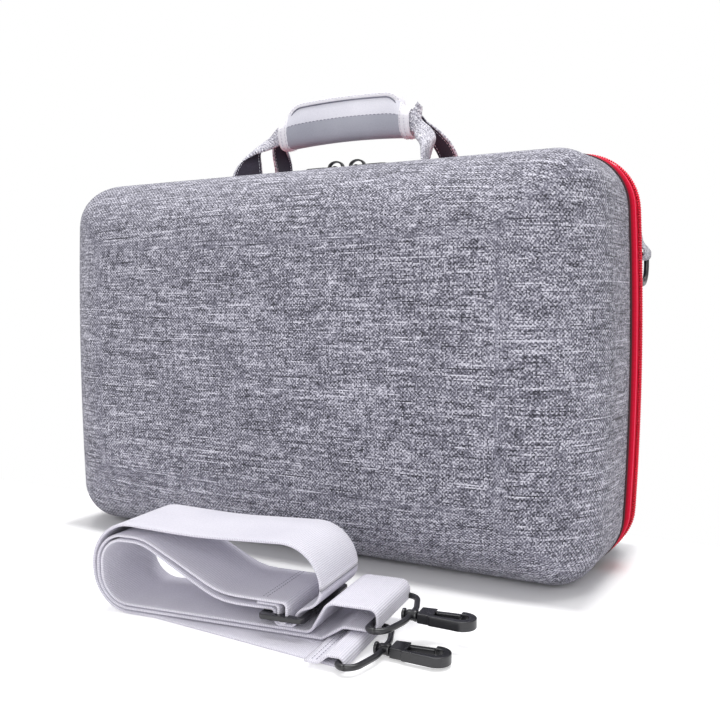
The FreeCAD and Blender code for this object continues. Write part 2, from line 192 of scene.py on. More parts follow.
def small_solids(name, solids):
    """One object from many small solids, each given as rings of points."""
    verts, faces = [], []
    for rings in solids:
        first = len(verts)
        verts += [point for ring in rings for point in ring]
        faces += [tuple(first + k for k in face) for face in tube_faces(len(rings), len(rings[0]))]
    return new_object(name, verts, faces)


def places_along(points, pitch, start):
    """Places every pitch along a line as (point, direction, number of the stretch, share of it)."""
    carry = start
    for i in range(len(points) - 1):
        step = points[i + 1] - points[i]
        length = step.length
        while carry < length:
            yield points[i] + step * (carry / length), step.normalized(), i, carry / length
            carry += pitch
        carry -= length


def catmull(points, steps):
    """Smooth curve of vectors through the given points."""
    out = []
    n = len(points)
    for i in range(n - 1):
        p0 = points[max(i - 1, 0)]
        p1, p2 = points[i], points[i + 1]
        p3 = points[min(i + 2, n - 1)]
        for k in range(steps):
            t = k / steps
            out.append(0.5 * (2 * p1 + (p2 - p0) * t + (2 * p0 - 5 * p1 + 4 * p2 - p3) * t * t
                              + (3 * p1 - p0 - 3 * p2 + p3) * t ** 3))
    out.append(points[-1].copy())
    return out


def lengths(points):
    """Distance along a line of points to each of them."""
    out = [0.0]
    for before, point in zip(points, points[1:]):
        out.append(out[-1] + math.dist(before, point))
    return out


def directions(points):
    """Direction of an open line at each of its points, not of unit length."""
    last = len(points) - 1
    return [points[min(i + 1, last)] - points[max(i - 1, 0)] for i in range(last + 1)]


def sweep(name, frames, profile, closed=False):
    """Profile of (s, t) carried along frames of (centre, s direction, t direction)."""
    verts, uvs = [], []
    across = lengths(profile)
    for (centre, a, b), run in zip(frames, lengths([place[0] for place in frames])):
        for (s, t), wide in zip(profile, across):
            verts.append(centre + a * s + b * t)
            uvs.append((run, wide))
    return new_object(name, verts, tube_faces(len(frames), len(profile), closed), uvs)


def circle_profile(radius, sides):
    turns = [2 * math.pi * k / sides for k in range(sides)]
    return [(radius * math.cos(a), radius * math.sin(a)) for a in turns]


EDGE_STEPS = 4


def strip_profile(width, thick, flat_steps=6):
    """Flat band with rounded edges, s across and t through."""
    r = thick / 2
    h = width / 2 - r
    points = []
    for side in (1, -1):
        for k in range(EDGE_STEPS + 1):
            a = -math.pi / 2 + math.pi * k / EDGE_STEPS
            points.append((side * (h + r * math.cos(a)), side * r * math.sin(a)))
        for k in range(1, flat_steps):
            points.append((side * (h - 2 * h * k / flat_steps), side * r))
    return points


def frames_along(points, closed=False, up=Vector((0, 0, 1))):
    """Frames for a round wire: any steady pair of directions square to the path."""
    out = []
    n = len(points)
    for i in range(n):
        before = points[i - 1] if closed or i else points[0]
        after = points[(i + 1) % n] if closed or i < n - 1 else points[-1]
        along = (after - before).normalized()
        a = along.cross(up)
        a = a.normalized() if a.length > 1e-6 else Vector((1, 0, 0))
        out.append((points[i], a, along.cross(a)))
    return out


def wire(name, points, radius, sides, closed=False, up=Vector((0, 0, 1))):
    """Round wire along a line of points."""
    return sweep(name, frames_along(points, closed, up), circle_profile(radius, sides), closed)


# points of a path that lie closer than this are one
NEAREST = 0.02 * MM


def rounded_path(corners, closed, arc_step, run_step):
    """Points along straight runs joined by arcs, through corners of (point, radius)."""
    n = len(corners)
    marks = []
    for i in range(n):
        c, r = corners[i]
        if not closed and i in (0, n - 1) or r == 0:
            marks.append([c])
            continue
        a = (corners[i - 1][0] - c).normalized()
        b = (corners[(i + 1) % n][0] - c).normalized()
        angle = a.angle(b)
        cut = r / math.tan(angle / 2)
        center = c + (a + b).normalized() * (r / math.sin(angle / 2))
        p, q = c + a * cut, c + b * cut
        turn = math.pi - angle
        steps = max(2, math.ceil(turn / arc_step))
        u, v = p - center, q - center
        marks.append([center + (u * math.sin(turn * (1 - k / steps)) + v * math.sin(turn * k / steps))
                      / math.sin(turn) for k in range(steps + 1)])
    out = []
    for i in range(n):
        out.extend(marks[i])
        if i == n - 1 and not closed:
            break
        p, q = marks[i][-1], marks[(i + 1) % n][0]
        steps = int((q - p).length / run_step)
        out.extend(p.lerp(q, k / (steps + 1)) for k in range(1, steps + 1))
    clean = [out[0]]
    for p in out[1:]:
        if (p - clean[-1]).length > NEAREST:
            clean.append(p)
    return clean


def spread(low, high, steps):
    return [low + (high - low) * k / steps for k in range(steps + 1)]


def apply(obj, kind, **settings):
    """Add a modifier of this kind to an object and apply it."""
    bpy.context.view_layer.objects.active = obj
    modifier = obj.modifiers.new(kind, kind)
    for key, value in settings.items():
        setattr(modifier, key, value)
    bpy.ops.object.modifier_apply(modifier=modifier.name)


# material helpers

# shares in the heather's tone of single crossings, weft yarns, warp yarns, slow drift, the weave's
# over-and-under and the thick and thin stretches of the weft
GRAIN, WEFT, WARP, CLOUD, OVER, SLUB = 0.55, 0.92, 0.6, 0.1, 0.22, 1.7
# pitch of the yarns, length over which one keeps its tone, size of the drift and length of one float
# of the weave, in millimetres
YARN, WEFT_RUN, WARP_RUN, DRIFT, FLOAT = 0.72, 8.0, 10.0, 40, 1.15
# steps through the noise from one yarn to the next and from its tone to its thickness
YARN_STEP, SLUB_STEP = 13.73, 5.41
# how slowly a yarn's thickness changes, and the levels past which it shows as thick or thin
SLUB_PACE, SLUB_THICK, SLUB_THIN = 0.22, 0.61, 0.36
# how quickly the cloth of the sides gives way to that of the top
WRAP_PACE = 3.0
NOISE_ROUGHNESS = 0.55
# scale at which a wave texture has one wave in each unit
ONE_WAVE = math.pi / 10
THREAD_WANDER = 0.4
SPECULAR = "Specular IOR Level"


class Paint:
    """Builds one node material around a Principled shader."""

    def __init__(self, name, roughness):
        self.material = bpy.data.materials.new(name)
        self.material.use_nodes = True
        self.tree = self.material.node_tree
        self.shader = self.tree.nodes["Principled BSDF"]
        self.feed(self.shader, {"Roughness": roughness})

    def feed(self, node, sockets):
        """Set each input to a value, or join it to the output that is given."""
        for key, value in sockets.items():
            if isinstance(value, bpy.types.NodeSocket):
                self.tree.links.new(value, node.inputs[key])
            else:
                node.inputs[key].default_value = value

    def add(self, kind, sockets, **settings):
        node = self.tree.nodes.new(kind)
        for key, value in settings.items():
            setattr(node, key, value)
        self.feed(node, sockets)
        return node

    def coords(self, source):
        return self.tree.nodes.new("ShaderNodeTexCoord").outputs[source]

    def scaled(self, vector, scale):
        return self.add("ShaderNodeMapping", {"Vector": vector, "Scale": scale}).outputs["Vector"]

    def split(self, vector):
        return self.add("ShaderNodeSeparateXYZ", {0: vector}).outputs

    def pair(self, x, y):
        return self.add("ShaderNodeCombineXYZ", {"X": x, "Y": y}).outputs[0]

    def noise(self, vector, detail):
        sockets = {"Vector": vector, "Scale": 1.0, "Detail": detail, "Roughness": NOISE_ROUGHNESS}
        return self.add("ShaderNodeTexNoise", sockets).outputs["Fac"]

    def speckle(self, scale, detail=2.0, source="Object"):
        """Noise that changes about scale times in each metre."""
        return self.noise(self.scaled(self.coords(source), (scale, scale, scale)), detail)

    def waves(self, axis, pitch, distortion=0.0):
        """One wave in each pitch along an axis of the UVs."""
        place = self.scaled(self.coords("UV"), (1 / pitch, 0, 0) if axis == "X" else (0, 1 / pitch, 0))
        sockets = {"Vector": place, "Scale": ONE_WAVE, "Distortion": distortion}
        return self.add("ShaderNodeTexWave", sockets, bands_direction=axis).outputs["Fac"]

    def math(self, kind, a, b=0.0):
        return self.add("ShaderNodeMath", {0: a, 1: b}, operation=kind).outputs[0]

    def sum(self, *terms):
        """Weighted sum of (value, weight)."""
        total = None
        for value, weight in terms:
            part = self.math("MULTIPLY", value, weight)
            total = part if total is None else self.math("ADD", total, part)
        return total

    def ranged(self, value, **limits):
        """Value carried from one range to another, with limits such as from_min."""
        sockets = {key.replace("_", " ").title(): limit for key, limit in limits.items()}
        return self.add("ShaderNodeMapRange", {"Value": value, **sockets}).outputs["Result"]

    def ramp(self, value, *stops):
        """Colours along a value, from stops of (place, colour)."""
        node = self.add("ShaderNodeValToRGB", {"Fac": value})
        elements = node.color_ramp.elements
        while len(elements) < len(stops):
            elements.new(0.5)
        for element, (at, color) in zip(elements, stops):
            element.position = at
            element.color = (*color, 1)
        return node.outputs["Color"]

    def color(self, value, *stops):
        self.feed(self.shader, {"Base Color": self.ramp(value, *stops)})

    def bump(self, height, distance, strength=0.8):
        sockets = {"Height": height, "Distance": distance, "Strength": strength}
        self.feed(self.shader, {"Normal": self.add("ShaderNodeBump", sockets).outputs["Normal"]})

    def sheen(self, weight):
        self.feed(self.shader, {"Sheen Weight": weight, "Sheen Roughness": 0.5})


def cloth_tone(paint, vector):
    """Tone and relief of a plain weave of thick-and-thin mixed yarns."""
    def mapped(u, v):
        return paint.scaled(vector, (1 / (u * MM), 1 / (v * MM), 0))

    crossing = paint.add("ShaderNodeVectorMath", {0: mapped(YARN, YARN)}, operation="FLOOR").outputs[0]
    count = paint.split(crossing)
    place = paint.split(mapped(WEFT_RUN, WARP_RUN))
    row, column = (paint.math("MULTIPLY", count[axis], YARN_STEP) for axis in ("Y", "X"))
    grain = paint.add("ShaderNodeTexWhiteNoise", {"Vector": crossing}, noise_dimensions="3D").outputs["Value"]
    weft = paint.noise(paint.pair(place["X"], row), 1.0)
    warp = paint.noise(paint.pair(column, place["Y"]), 1.0)
    slow = paint.math("MULTIPLY", place["X"], SLUB_PACE)
    slub = paint.noise(paint.pair(slow, paint.math("ADD", row, SLUB_STEP)), 0.0)
    thick = paint.math("MAXIMUM", paint.math("SUBTRACT", slub, SLUB_THICK), 0.0)
    thin = paint.math("MINIMUM", paint.math("SUBTRACT", slub, SLUB_THIN), 0.0)
    cloud = paint.noise(mapped(DRIFT, DRIFT), 2.0)
    turn = paint.split(mapped(FLOAT / math.pi, FLOAT / math.pi))
    over = paint.math("MULTIPLY", paint.math("SINE", turn["X"]), paint.math("SINE", turn["Y"]))
    tone = paint.sum((grain, GRAIN), (weft, WEFT), (warp, WARP), (cloud, CLOUD), (over, OVER),
                     (paint.math("ADD", thick, thin), SLUB))
    relief = paint.sum((grain, 0.4), (weft, 0.6), (warp, 0.4), (over, 0.5))
    return paint.math("SUBTRACT", tone, (GRAIN + WEFT + WARP + CLOUD) / 2 - 0.5), relief


def heather_cloth(name, dark, middle, light, wrapped=False):
    """Melange cloth; a wrapped one runs over the edges of a moulded shell without a break."""
    paint = Paint(name, 0.85)
    if wrapped:
        flat, solid, facing = (paint.split(paint.coords(source)) for source in ("UV", "Object", "Normal"))
        sides = cloth_tone(paint, paint.pair(flat["X"], solid["Z"]))
        top = cloth_tone(paint, paint.pair(solid["X"], flat["Y"]))
        lean = paint.math("SUBTRACT", *(paint.math("ABSOLUTE", facing[axis]) for axis in ("Z", "X")))
        share = paint.add("ShaderNodeClamp", {"Value": paint.sum((lean, WRAP_PACE), (0.5, 1.0))}).outputs[0]
        tone, relief = (paint.add("ShaderNodeMix", {"Factor": share, "A": one, "B": other}).outputs["Result"]
                        for one, other in zip(sides, top))
    else:
        tone, relief = cloth_tone(paint, paint.coords("UV"))
    paint.color(tone, (0.1, dark), (0.5, middle), (0.95, light))
    paint.bump(relief, 0.35 * MM)
    paint.sheen(0.1)
    return paint.material


def webbing(name, dark, light, rib, bump):
    """Ribbed webbing; ribs lie across the length, with fine cross threads."""
    paint = Paint(name, 0.75)
    ribs = paint.waves("X", rib)
    threads = paint.waves("Y", rib, THREAD_WANDER)
    grain = paint.speckle(900, source="UV")
    soft = paint.speckle(25, source="UV")
    paint.color(paint.sum((ribs, 0.35), (grain, 0.35), (soft, 0.3)), (0.2, dark), (0.75, light))
    paint.bump(paint.sum((ribs, 1.0), (threads, 0.15), (grain, 0.3)), bump)
    paint.sheen(0.2)
    paint.feed(paint.shader, {SPECULAR: 0.3})
    return paint.material


def zip_cloth(name, rib):
    """Zip tape, with painted shade where it goes under the shell's edge and a painted highlight along its
    raised cord.
    """
    paint = Paint(name, 0.7)
    threads = paint.waves("Y", rib, THREAD_WANDER)
    grain = paint.speckle(900, source="UV")
    tone = paint.sum((threads, 0.5), (grain, 0.5))
    red = paint.ramp(tone, (0.2, (0.60, 0.002, 0.022)), (0.75, (0.88, 0.006, 0.05)))
    # painted shade: the tape darkens towards the shell's edge, where it goes under
    band = paint.ranged(paint.split(paint.coords("UV"))["X"], from_min=-11 * MM, from_max=-5 * MM)
    shade = paint.ramp(band, (0.15, (0.08, 0.06, 0.06)), (0.4, (0.75, 0.75, 0.75)), (0.52, (1, 1, 1)))
    # painted highlight: a pale line along the raised cord
    cord = paint.ramp(band, (0.48, (0, 0, 0)), (0.58, (0.9, 0.9, 0.9)), (0.68, (0, 0, 0)))
    # a colour mix has its two colours in inputs 6 and 7 and its result in output 2
    dim = paint.add("ShaderNodeMix", {}, data_type="RGBA", blend_type="MULTIPLY")
    paint.feed(dim, {"Factor": 1.0, 6: red, 7: shade})
    light = paint.add("ShaderNodeMix", {}, data_type="RGBA")
    paint.feed(light, {"Factor": cord, 6: dim.outputs[2], 7: (0.95, 0.16, 0.27, 1)})
    paint.bump(paint.sum((threads, 0.6), (grain, 0.3)), 0.12 * MM)
    paint.feed(paint.shader, {"Base Color": light.outputs[2], SPECULAR: 0.15})
    return paint.material


def plain_cloth(name, dark, light, scale, bump, sheen=0.25, roughness=0.8):
    paint = Paint(name, roughness)
    fine = paint.speckle(scale, 3.0)
    soft = paint.speckle(30)
    paint.color(paint.sum((fine, 0.5), (soft, 0.5)), (0.35, dark), (0.65, light))
    paint.bump(fine, bump, 0.7)
    paint.sheen(sheen)
    return paint.material


def dark_metal(name, dark, light, rough_low, rough_high):
    paint = Paint(name, 0.35)
    speck = paint.speckle(700, 3.0)
    soft = paint.speckle(60)
    paint.color(paint.sum((speck, 0.4), (soft, 0.6)), (0.35, dark), (0.7, light))
    paint.bump(speck, 0.03 * MM, 0.5)
    rough = paint.ranged(soft, to_min=rough_low, to_max=rough_high)
    paint.feed(paint.shader, {"Roughness": rough, SPECULAR: 0.6})
    return paint.material


HEATHER = heather_cloth("heather_fabric", (0.02, 0.02, 0.029), (0.184, 0.18, 0.232), (0.72, 0.71, 0.8), True)
HANDLE_CLOTH = heather_cloth("handle_webbing", (0.16, 0.155, 0.19), (0.46, 0.45, 0.52), (0.90, 0.89, 0.94))
LINING = plain_cloth("lining", (0.012, 0.012, 0.014), (0.035, 0.035, 0.04), 1200, 0.1 * MM)
FOAM = plain_cloth("foam", (0.010, 0.010, 0.012), (0.030, 0.030, 0.034), 900, 0.16 * MM, 0.35, 0.95)
GRIP_CLOTH = plain_cloth("grip_fabric", (0.64, 0.635, 0.71), (0.77, 0.76, 0.83), 1500, 0.06 * MM, 0.1)
# darker copy of the grip's cloth for its lower faces: painted shade
GRIP_SHADED = plain_cloth("grip_painted_shade_fabric", (0.33, 0.335, 0.395), (0.41, 0.415, 0.475), 1500,
                         0.06 * MM, 0.1)
BINDING = webbing("binding", (0.72, 0.70, 0.77), (0.94, 0.92, 0.96), 0.7 * MM, 0.12 * MM)
# dark cloth for the inner faces of the handle's loops: painted shade
WEB_INSIDE_SHADE = plain_cloth("web_inside_painted_shade", (0.018, 0.014, 0.026), (0.05, 0.042, 0.068), 1500, 0.06 * MM, 0.0)
STRAP_CLOTH = webbing("strap_webbing", (0.56, 0.545, 0.635), (0.86, 0.84, 0.915), 0.95 * MM, 0.22 * MM)
TAPE_CLOTH = zip_cloth("zip_tape", 0.7 * MM)
COIL = plain_cloth("zip_coil", (0.66, 0.003, 0.026), (0.95, 0.009, 0.055), 1200, 0.03 * MM, 0.0, 0.6)
# near-black maroon of the wire in the groove beside the zip: painted shade
SEAM_SHADE = plain_cloth("zip_seam_shade", (0.02, 0.002, 0.005), (0.05, 0.004, 0.011), 1500, 0.05 * MM, 0.0)
METAL = dark_metal("dark_metal", (0.004, 0.004, 0.006), (0.014, 0.014, 0.018), 0.2, 0.36)
# dark thread, also used for a wire of painted shade on the grip
THREAD_AND_SHADE = plain_cloth("thread", (0.10, 0.10, 0.14), (0.24, 0.24, 0.30), 2500, 0.05 * MM)
PALE_THREAD = plain_cloth("pale_thread", (0.55, 0.54, 0.61), (0.82, 0.81, 0.88), 2500, 0.05 * MM)


def dress(obj, body, slot, materials, *replaced):
    """Set a piece's materials and body, and hide the solids that it stands for. The slot is not used."""
    if obj.data.materials:
        obj.data.materials.clear()
    for material in materials:
        obj.data.materials.append(material)
    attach(obj, body)
    if replaced:
        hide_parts(*replaced)


# shells

SIDE_STEPS, CORNER_STEPS, FLAT_STEPS = 36, 14, 52
ROUND_STEPS, DRAFT_STEPS = 18, 7
# shares of the cap's outline that the rings of points across the cap take
CAP_RINGS = (0.0, 0.12, 0.25, 0.4, 0.55, 0.7, 0.85)
LOW_EDGE = -0.4 * MM
WELD = 0.01 * MM


def outline(wide, low, high, corner):
    """Rounded outline with bowed sides as (x, z, normal x, normal z), starting low on the right."""
    tall = (high - low) / 2
    bow = wide - SIDE_RADIUS
    inner = bow + math.sqrt((SIDE_RADIUS - corner) ** 2 - (tall - corner) ** 2)
    angle = math.atan2(tall - corner, inner - bow)
    rest = math.pi / 2 - angle

    def arc(x, z, radius, start, turn, steps):
        for t in (start + turn * k / steps for k in range(steps)):
            yield x + radius * math.cos(t), z + radius * math.sin(t), math.cos(t), math.sin(t)

    half = list(arc(bow, 0.0, SIDE_RADIUS, -angle, 2 * angle, SIDE_STEPS))
    half += arc(inner, tall - corner, corner, angle, rest, CORNER_STEPS)
    half += [(inner - 2 * inner * k / FLAT_STEPS, tall, 0.0, 1.0) for k in range(FLAT_STEPS)]
    half += arc(-inner, tall - corner, corner, math.pi / 2, rest, CORNER_STEPS)
    # the second half is the first one turned round, without negative zeros
    whole = half + [(0.0 - x, 0.0 - z, 0.0 - nx, 0.0 - nz) for x, z, nx, nz in half]
    return [(x, z + (low + high) / 2, nx, nz) for x, z, nx, nz in whole]


def shell_rings(form, off):
    """Outlines from the cap's edge back to the rim, as (depth from the rim, outline)."""
    bend = form["round"] - off
    flat = form["depth"] - form["round"]
    corner = INNER_CORNER if off else RIM_CORNER
    low = off if off else LOW_EDGE
    turns = [math.pi / 2 * (1 - i / ROUND_STEPS) for i in range(ROUND_STEPS)]
    stations = [(flat + bend * math.sin(a), bend * (1 - math.cos(a))) for a in turns]
    stations += [(flat * (1 - i / DRAFT_STEPS), 0.0) for i in range(DRAFT_STEPS + 1)]
    rings = []
    for depth, inset in stations:
        draft = depth * math.tan(form["draft"]) + form["inset"] + off
        radius = corner - draft + (CAP_CORNER - corner) * max(depth - flat, 0) / bend
        wide, high = HALF_WIDTH - draft - inset, HEIGHT - draft - inset
        rings.append((depth, outline(wide, low + inset, high, radius)))
    return rings


def shell_skin(name, form, side, rim):
    """Moulded half: cloth outside, lining inside, joined round the rim."""
    verts, uvs, faces, ids = [], [], [], []

    def add_side(off, material_id, crown):
        rings = shell_rings(form, off)
        cap_depth, cap = rings[0]
        first, cols = len(verts), len(cap)
        middle = sum(p[1] for p in cap) / cols
        for share in CAP_RINGS:
            y = rim + side * (cap_depth + crown * (1 - share * share))
            for x, z, _, _ in cap:
                uvs.append((x * share, middle + (z - middle) * share))
                verts.append((uvs[-1][0], y, max(uvs[-1][1], 0)))
        run = [0.0] * cols
        last = [(x, cap_depth, z) for x, z, _, _ in cap]
        for depth, ring in rings:
            for j, (x, z, _, _) in enumerate(ring):
                run[j] += math.dist((x, depth, z), last[j])
                last[j] = (x, depth, z)
                verts.append((x, rim + side * depth, max(z, 0)))
                uvs.append((cap[j][0] + math.copysign(run[j], cap[j][0]),
                            cap[j][1] + math.copysign(run[j], cap[j][1] - middle)))
        rows = len(CAP_RINGS) + len(rings)
        faces.extend(tuple(first + k for k in quad) for quad in rows_to_faces(rows, cols, True))
        ids.extend([material_id] * (rows - 1) * cols)
        return range(first + (rows - 1) * cols, first + rows * cols)

    outer = add_side(0.0, 0, CROWN)
    inner = add_side(WALL, 1, 0.0)
    faces.extend((outer[j - 1], outer[j], inner[j], inner[j - 1]) for j in range(len(outer)))
    ids.extend([1] * len(outer))
    return new_object(name, verts, faces, uvs, ids, WELD)


front_skin = shell_skin("front_shell_cloth", FRONT_FORM, -1, FRONT_RIM)
dress(front_skin, "case", "heather_fabric", [HEATHER, LINING], "front_shell")
back_skin = shell_skin("back_shell_cloth", BACK_FORM, 1, BACK_RIM)
dress(back_skin, "lid", "heather_fabric", [HEATHER, LINING], "back_shell")


# zip

# section of one tape: distance from the zip's line in millimetres, share of the full rise
TAPE_PROFILE = ((-10.6, -0.5), (-9.9, 0.05), (-9.3, 0.32), (-8.6, 0.55), (-8.1, 0.74), (-7.6, 0.84),
                (-7.0, 0.80), (-6.6, 0.66), (-6.0, 0.60), (-4.8, 0.66), (-3.4, 0.74), (-2.0, 0.78),
                (-0.4, 0.78), (-0.3, 0.70), (-0.3, -0.2), (-6.0, -0.4))
# one tooth: distance from the zip's line in millimetres, share of its width, height in millimetres
TOOTH_PROFILE = ((-3.0, 0.7, -0.5), (-2.2, 1.0, 0.35), (-0.6, 1.0, 0.55), (0.35, 0.8, 0.1))


def zip_path(side, top):
    """The rim's outline pushed out by side and top, from the lower left end to the lower right end.

    Both ends sink into the shells.
    """
    rim = outline(HALF_WIDTH, 0.0, HEIGHT, RIM_CORNER)
    far = outline(HALF_WIDTH + side, -top, HEIGHT + top, RIM_CORNER + top)
    start = next(i for i, p in enumerate(rim) if p[1] <= ZIP_END < rim[i - 1][1] and p[0] < 0)
    path = []
    for (x, z, nx, nz), out in zip(rim[start:] + rim[:start], far[start:] + far[:start]):
        if z > ZIP_END:
            t = min((z - ZIP_END) / ZIP_SINK, 1.0)
            share = ZIP_LOW + (1 - ZIP_LOW) * t * t * (3 - 2 * t)
            path.append((x + (out[0] - x) * share, z + (out[1] - z) * share, nx, nz))
    return path[::-1]


def zip_tape(name, s):
    """Tape of one half; s is -1 for the front and +1 for the back."""
    columns = []
    for y, rise in TAPE_PROFILE:
        path = zip_path(TAPE_SIDE * rise, TAPE_TOP * rise)
        columns.append([Vector((x, ZIP_Y - s * y * MM, z)) for x, z, _, _ in path])
    verts, uvs = [], []
    for row, run in zip(zip(*columns), lengths(columns[0])):
        verts += row
        uvs += [(y * MM, run) for y, _ in TAPE_PROFILE]
    return new_object(name, verts, tube_faces(len(columns[0]), len(columns)), uvs)


def zip_teeth(name, s):
    """Coil teeth of one half, set alternately with the other half's."""
    path = zip_path(COIL_SIDE, COIL_TOP)
    points = [Vector((x, 0, z)) for x, z, _, _ in path]
    normals = [Vector((nx, 0, nz)) for _, _, nx, nz in path]
    teeth = []
    for at, along, i, share in places_along(points, TOOTH_PITCH, TOOTH_PITCH / 2 if s > 0 else 0.0):
        out = normals[i].lerp(normals[i + 1], share).normalized()
        rings = []
        for y, grow, lift in TOOTH_PROFILE:
            base = at + Vector((0, ZIP_Y - s * y * MM, 0))
            half = along * (TOOTH_HALF * grow)
            root, top = base - out * TOOTH_ROOT, base + out * (lift * MM)
            rings.append((root - half, top - half * TOOTH_TOP, top + half * TOOTH_TOP, root + half))
        teeth.append(rings)
    return small_solids(name, teeth)


for half, s, body in (("front", -1, "case"), ("back", 1, "lid")):
    dress(zip_tape(half + "_tape", s), body, "zip_tape", [TAPE_CLOTH], half + "_zip_tape")
    dress(zip_teeth(half + "_teeth", s), body, "zip_tape", [COIL])
    # dark wire at the shell's edge: painted shade in the groove there
    edge = [Vector((x, ZIP_Y + s * SEAM_SHADE_OFF, z)) for x, z, _, _ in zip_path(SEAM_SHADE_OUT, 0.0)]
    seam = wire(half + "_zip_seam_shade", edge, SEAM_SHADE_RADIUS, 8, up=Vector((0, 1, 0)))
    dress(seam, body, "zip_tape", [SEAM_SHADE])


def hinge_strip():
    """Cloth hinge along the bottom, a flat strip between the two halves."""
    low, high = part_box("front_hinge_flap")
    _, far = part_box("back_hinge_flap")

    def point(face, u, v):
        x, y = low.x + (high.x - low.x) * v, low.y + (far.y - low.y) * u
        return (x, y, high.z - HINGE_INSET if face else HINGE_LOW), (y, x)

    obj = block("hinge_cloth", *HINGE_STEPS, point)
    obj.data.materials.append(TAPE_CLOTH)
    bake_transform(obj)
    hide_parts("front_hinge_flap", "back_hinge_flap")


hinge_strip()


# small metal parts

# places of the strap's end rings and of its tri-glide in the strap's own directions
RING_A = Vector((74, 3.8, -25.6)) * MM
RING_B = Vector((80, 13.0, -4.0)) * MM
GLIDE = Vector((35.5, 11.4, 0)) * MM
RING_WIRE = 1.5 * MM
RING_REACH = 13 * MM
RING_NOSE = 9 * MM
RING_SHOULDER = 8.5 * MM
RING_SLOPE = 1.5 * MM
# turned barrel at a ring's nose: distance along it and radius, in millimetres
BARREL = ((-2.1, 0.0), (-2.1, 1.9), (-1.7, 2.4), (-0.6, 2.6), (1.6, 2.6), (2.2, 2.9), (3.1, 2.9), (3.5, 2.5),
          (3.6, 0.0))
HOOK_START = 17.1 * MM
HOOK_SLACK = 0.2 * MM
HOOK_TAPER = 20 * MM
HOOK_SPINE_SLIM = 0.6
HOOK_GATE_SLIM = 0.9
HOOK_THIN = 0.8
SLIDER_PLATE = HEIGHT + 4 * MM
SLIDER_FLAT = 0.72
PIN_Z = HEIGHT + 5.2 * MM
PIN_HALF = 2.6 * MM
PIN_RADIUS = 1.7 * MM
PIN_WIDE = 1.5
# grain of a softened copy and rounds of its smoothing
HOOK_CAST = (0.25 * MM, 7)
GLIDE_CAST = (0.28 * MM, 8)
SLIDER_CAST = (0.25 * MM, 4)
PULL_CAST = (0.2 * MM, 3)
FOAM_CAST = (2 * MM, 5)


def to_floor(u, v, w):
    """Point at u along the strap, v above the floor and w across the strap."""
    c, s = math.cos(STRAP_YAW), math.sin(STRAP_YAW)
    return STRAP_AT + Vector((u * c - w * s, u * s + w * c, v))


def off_floor(p):
    """Strap coordinates (u, v, w) of a point."""
    c, s = math.cos(STRAP_YAW), math.sin(STRAP_YAW)
    d = p - STRAP_AT
    return Vector((d.x * c + d.y * s, d.z, d.y * c - d.x * s))


def cast_copy(node, cast, reshape=None):
    """A softened copy of a solid, with the rounded edges of a die casting."""
    voxel, rounds = cast
    obj = linked(node + "_cast", nodes[node].data.copy())
    if reshape is not None:
        for vert in obj.data.vertices:
            vert.co = reshape(vert.co)
    apply(obj, "REMESH", mode="VOXEL", voxel_size=voxel)
    apply(obj, "SMOOTH", factor=0.5, iterations=rounds)
    obj.data.polygons.foreach_set("use_smooth", [True] * len(obj.data.polygons))
    return obj


def hook_taper(ring):
    """Narrows a hook towards its swivel, less on the gate's side, and thins it a little."""
    def reshape(co):
        u, v, w = off_floor(co)
        past = u - ring.x - HOOK_START
        if past < -HOOK_SLACK:
            return co.copy()
        start = HOOK_SPINE_SLIM if w < ring.z else HOOK_GATE_SLIM
        slim = start + (1 - start) * min(max(past / HOOK_TAPER, 0), 1)
        return to_floor(u, ring.y + (v - ring.y) * HOOK_THIN, ring.z + (w - ring.z) * slim)
    return reshape


def slider_low(co):
    """Flattens the arch of a zip slider."""
    past = max(co.z - SLIDER_PLATE, 0)
    return Vector((co.x, co.y, co.z - past * (1 - SLIDER_FLAT)))


def metal_piece(obj, body, *replaced):
    dress(obj, body, "dark_metal", [METAL], *replaced)


for name, ring in (("a", RING_A), ("b", RING_B)):
    for node, body in (("hook_" + name, "snap_" + name), ("gate_" + name, "latch_" + name)):
        metal_piece(cast_copy(node, HOOK_CAST, hook_taper(ring)), body, node)
metal_piece(cast_copy("tri_glide", GLIDE_CAST), "case", "tri_glide")
for side in ("left", "right"):
    metal_piece(cast_copy(side + "_slider", SLIDER_CAST, slider_low), "slider_" + side, side + "_slider")
    low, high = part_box(side + "_slider")
    middle = (low + high) / 2
    eye = [Vector((middle.x, middle.y + y, PIN_Z)) for y in spread(-PIN_HALF, PIN_HALF, 4)]
    oval = [(PIN_WIDE * a, b) for a, b in circle_profile(PIN_RADIUS, 14)]
    metal_piece(sweep(side + "_slider_pin", frames_along(eye), oval), "slider_" + side)
    metal_piece(cast_copy(side + "_pull", PULL_CAST), "pull_" + side, side + "_pull")


def join_objects(name, *pieces):
    """One object from several, in the order given."""
    work = bmesh.new()
    for piece in pieces:
        work.from_mesh(piece.data)
        bpy.data.objects.remove(piece)
    mesh = bpy.data.meshes.new(name)
    work.to_mesh(mesh)
    work.free()
    return linked(name, mesh)


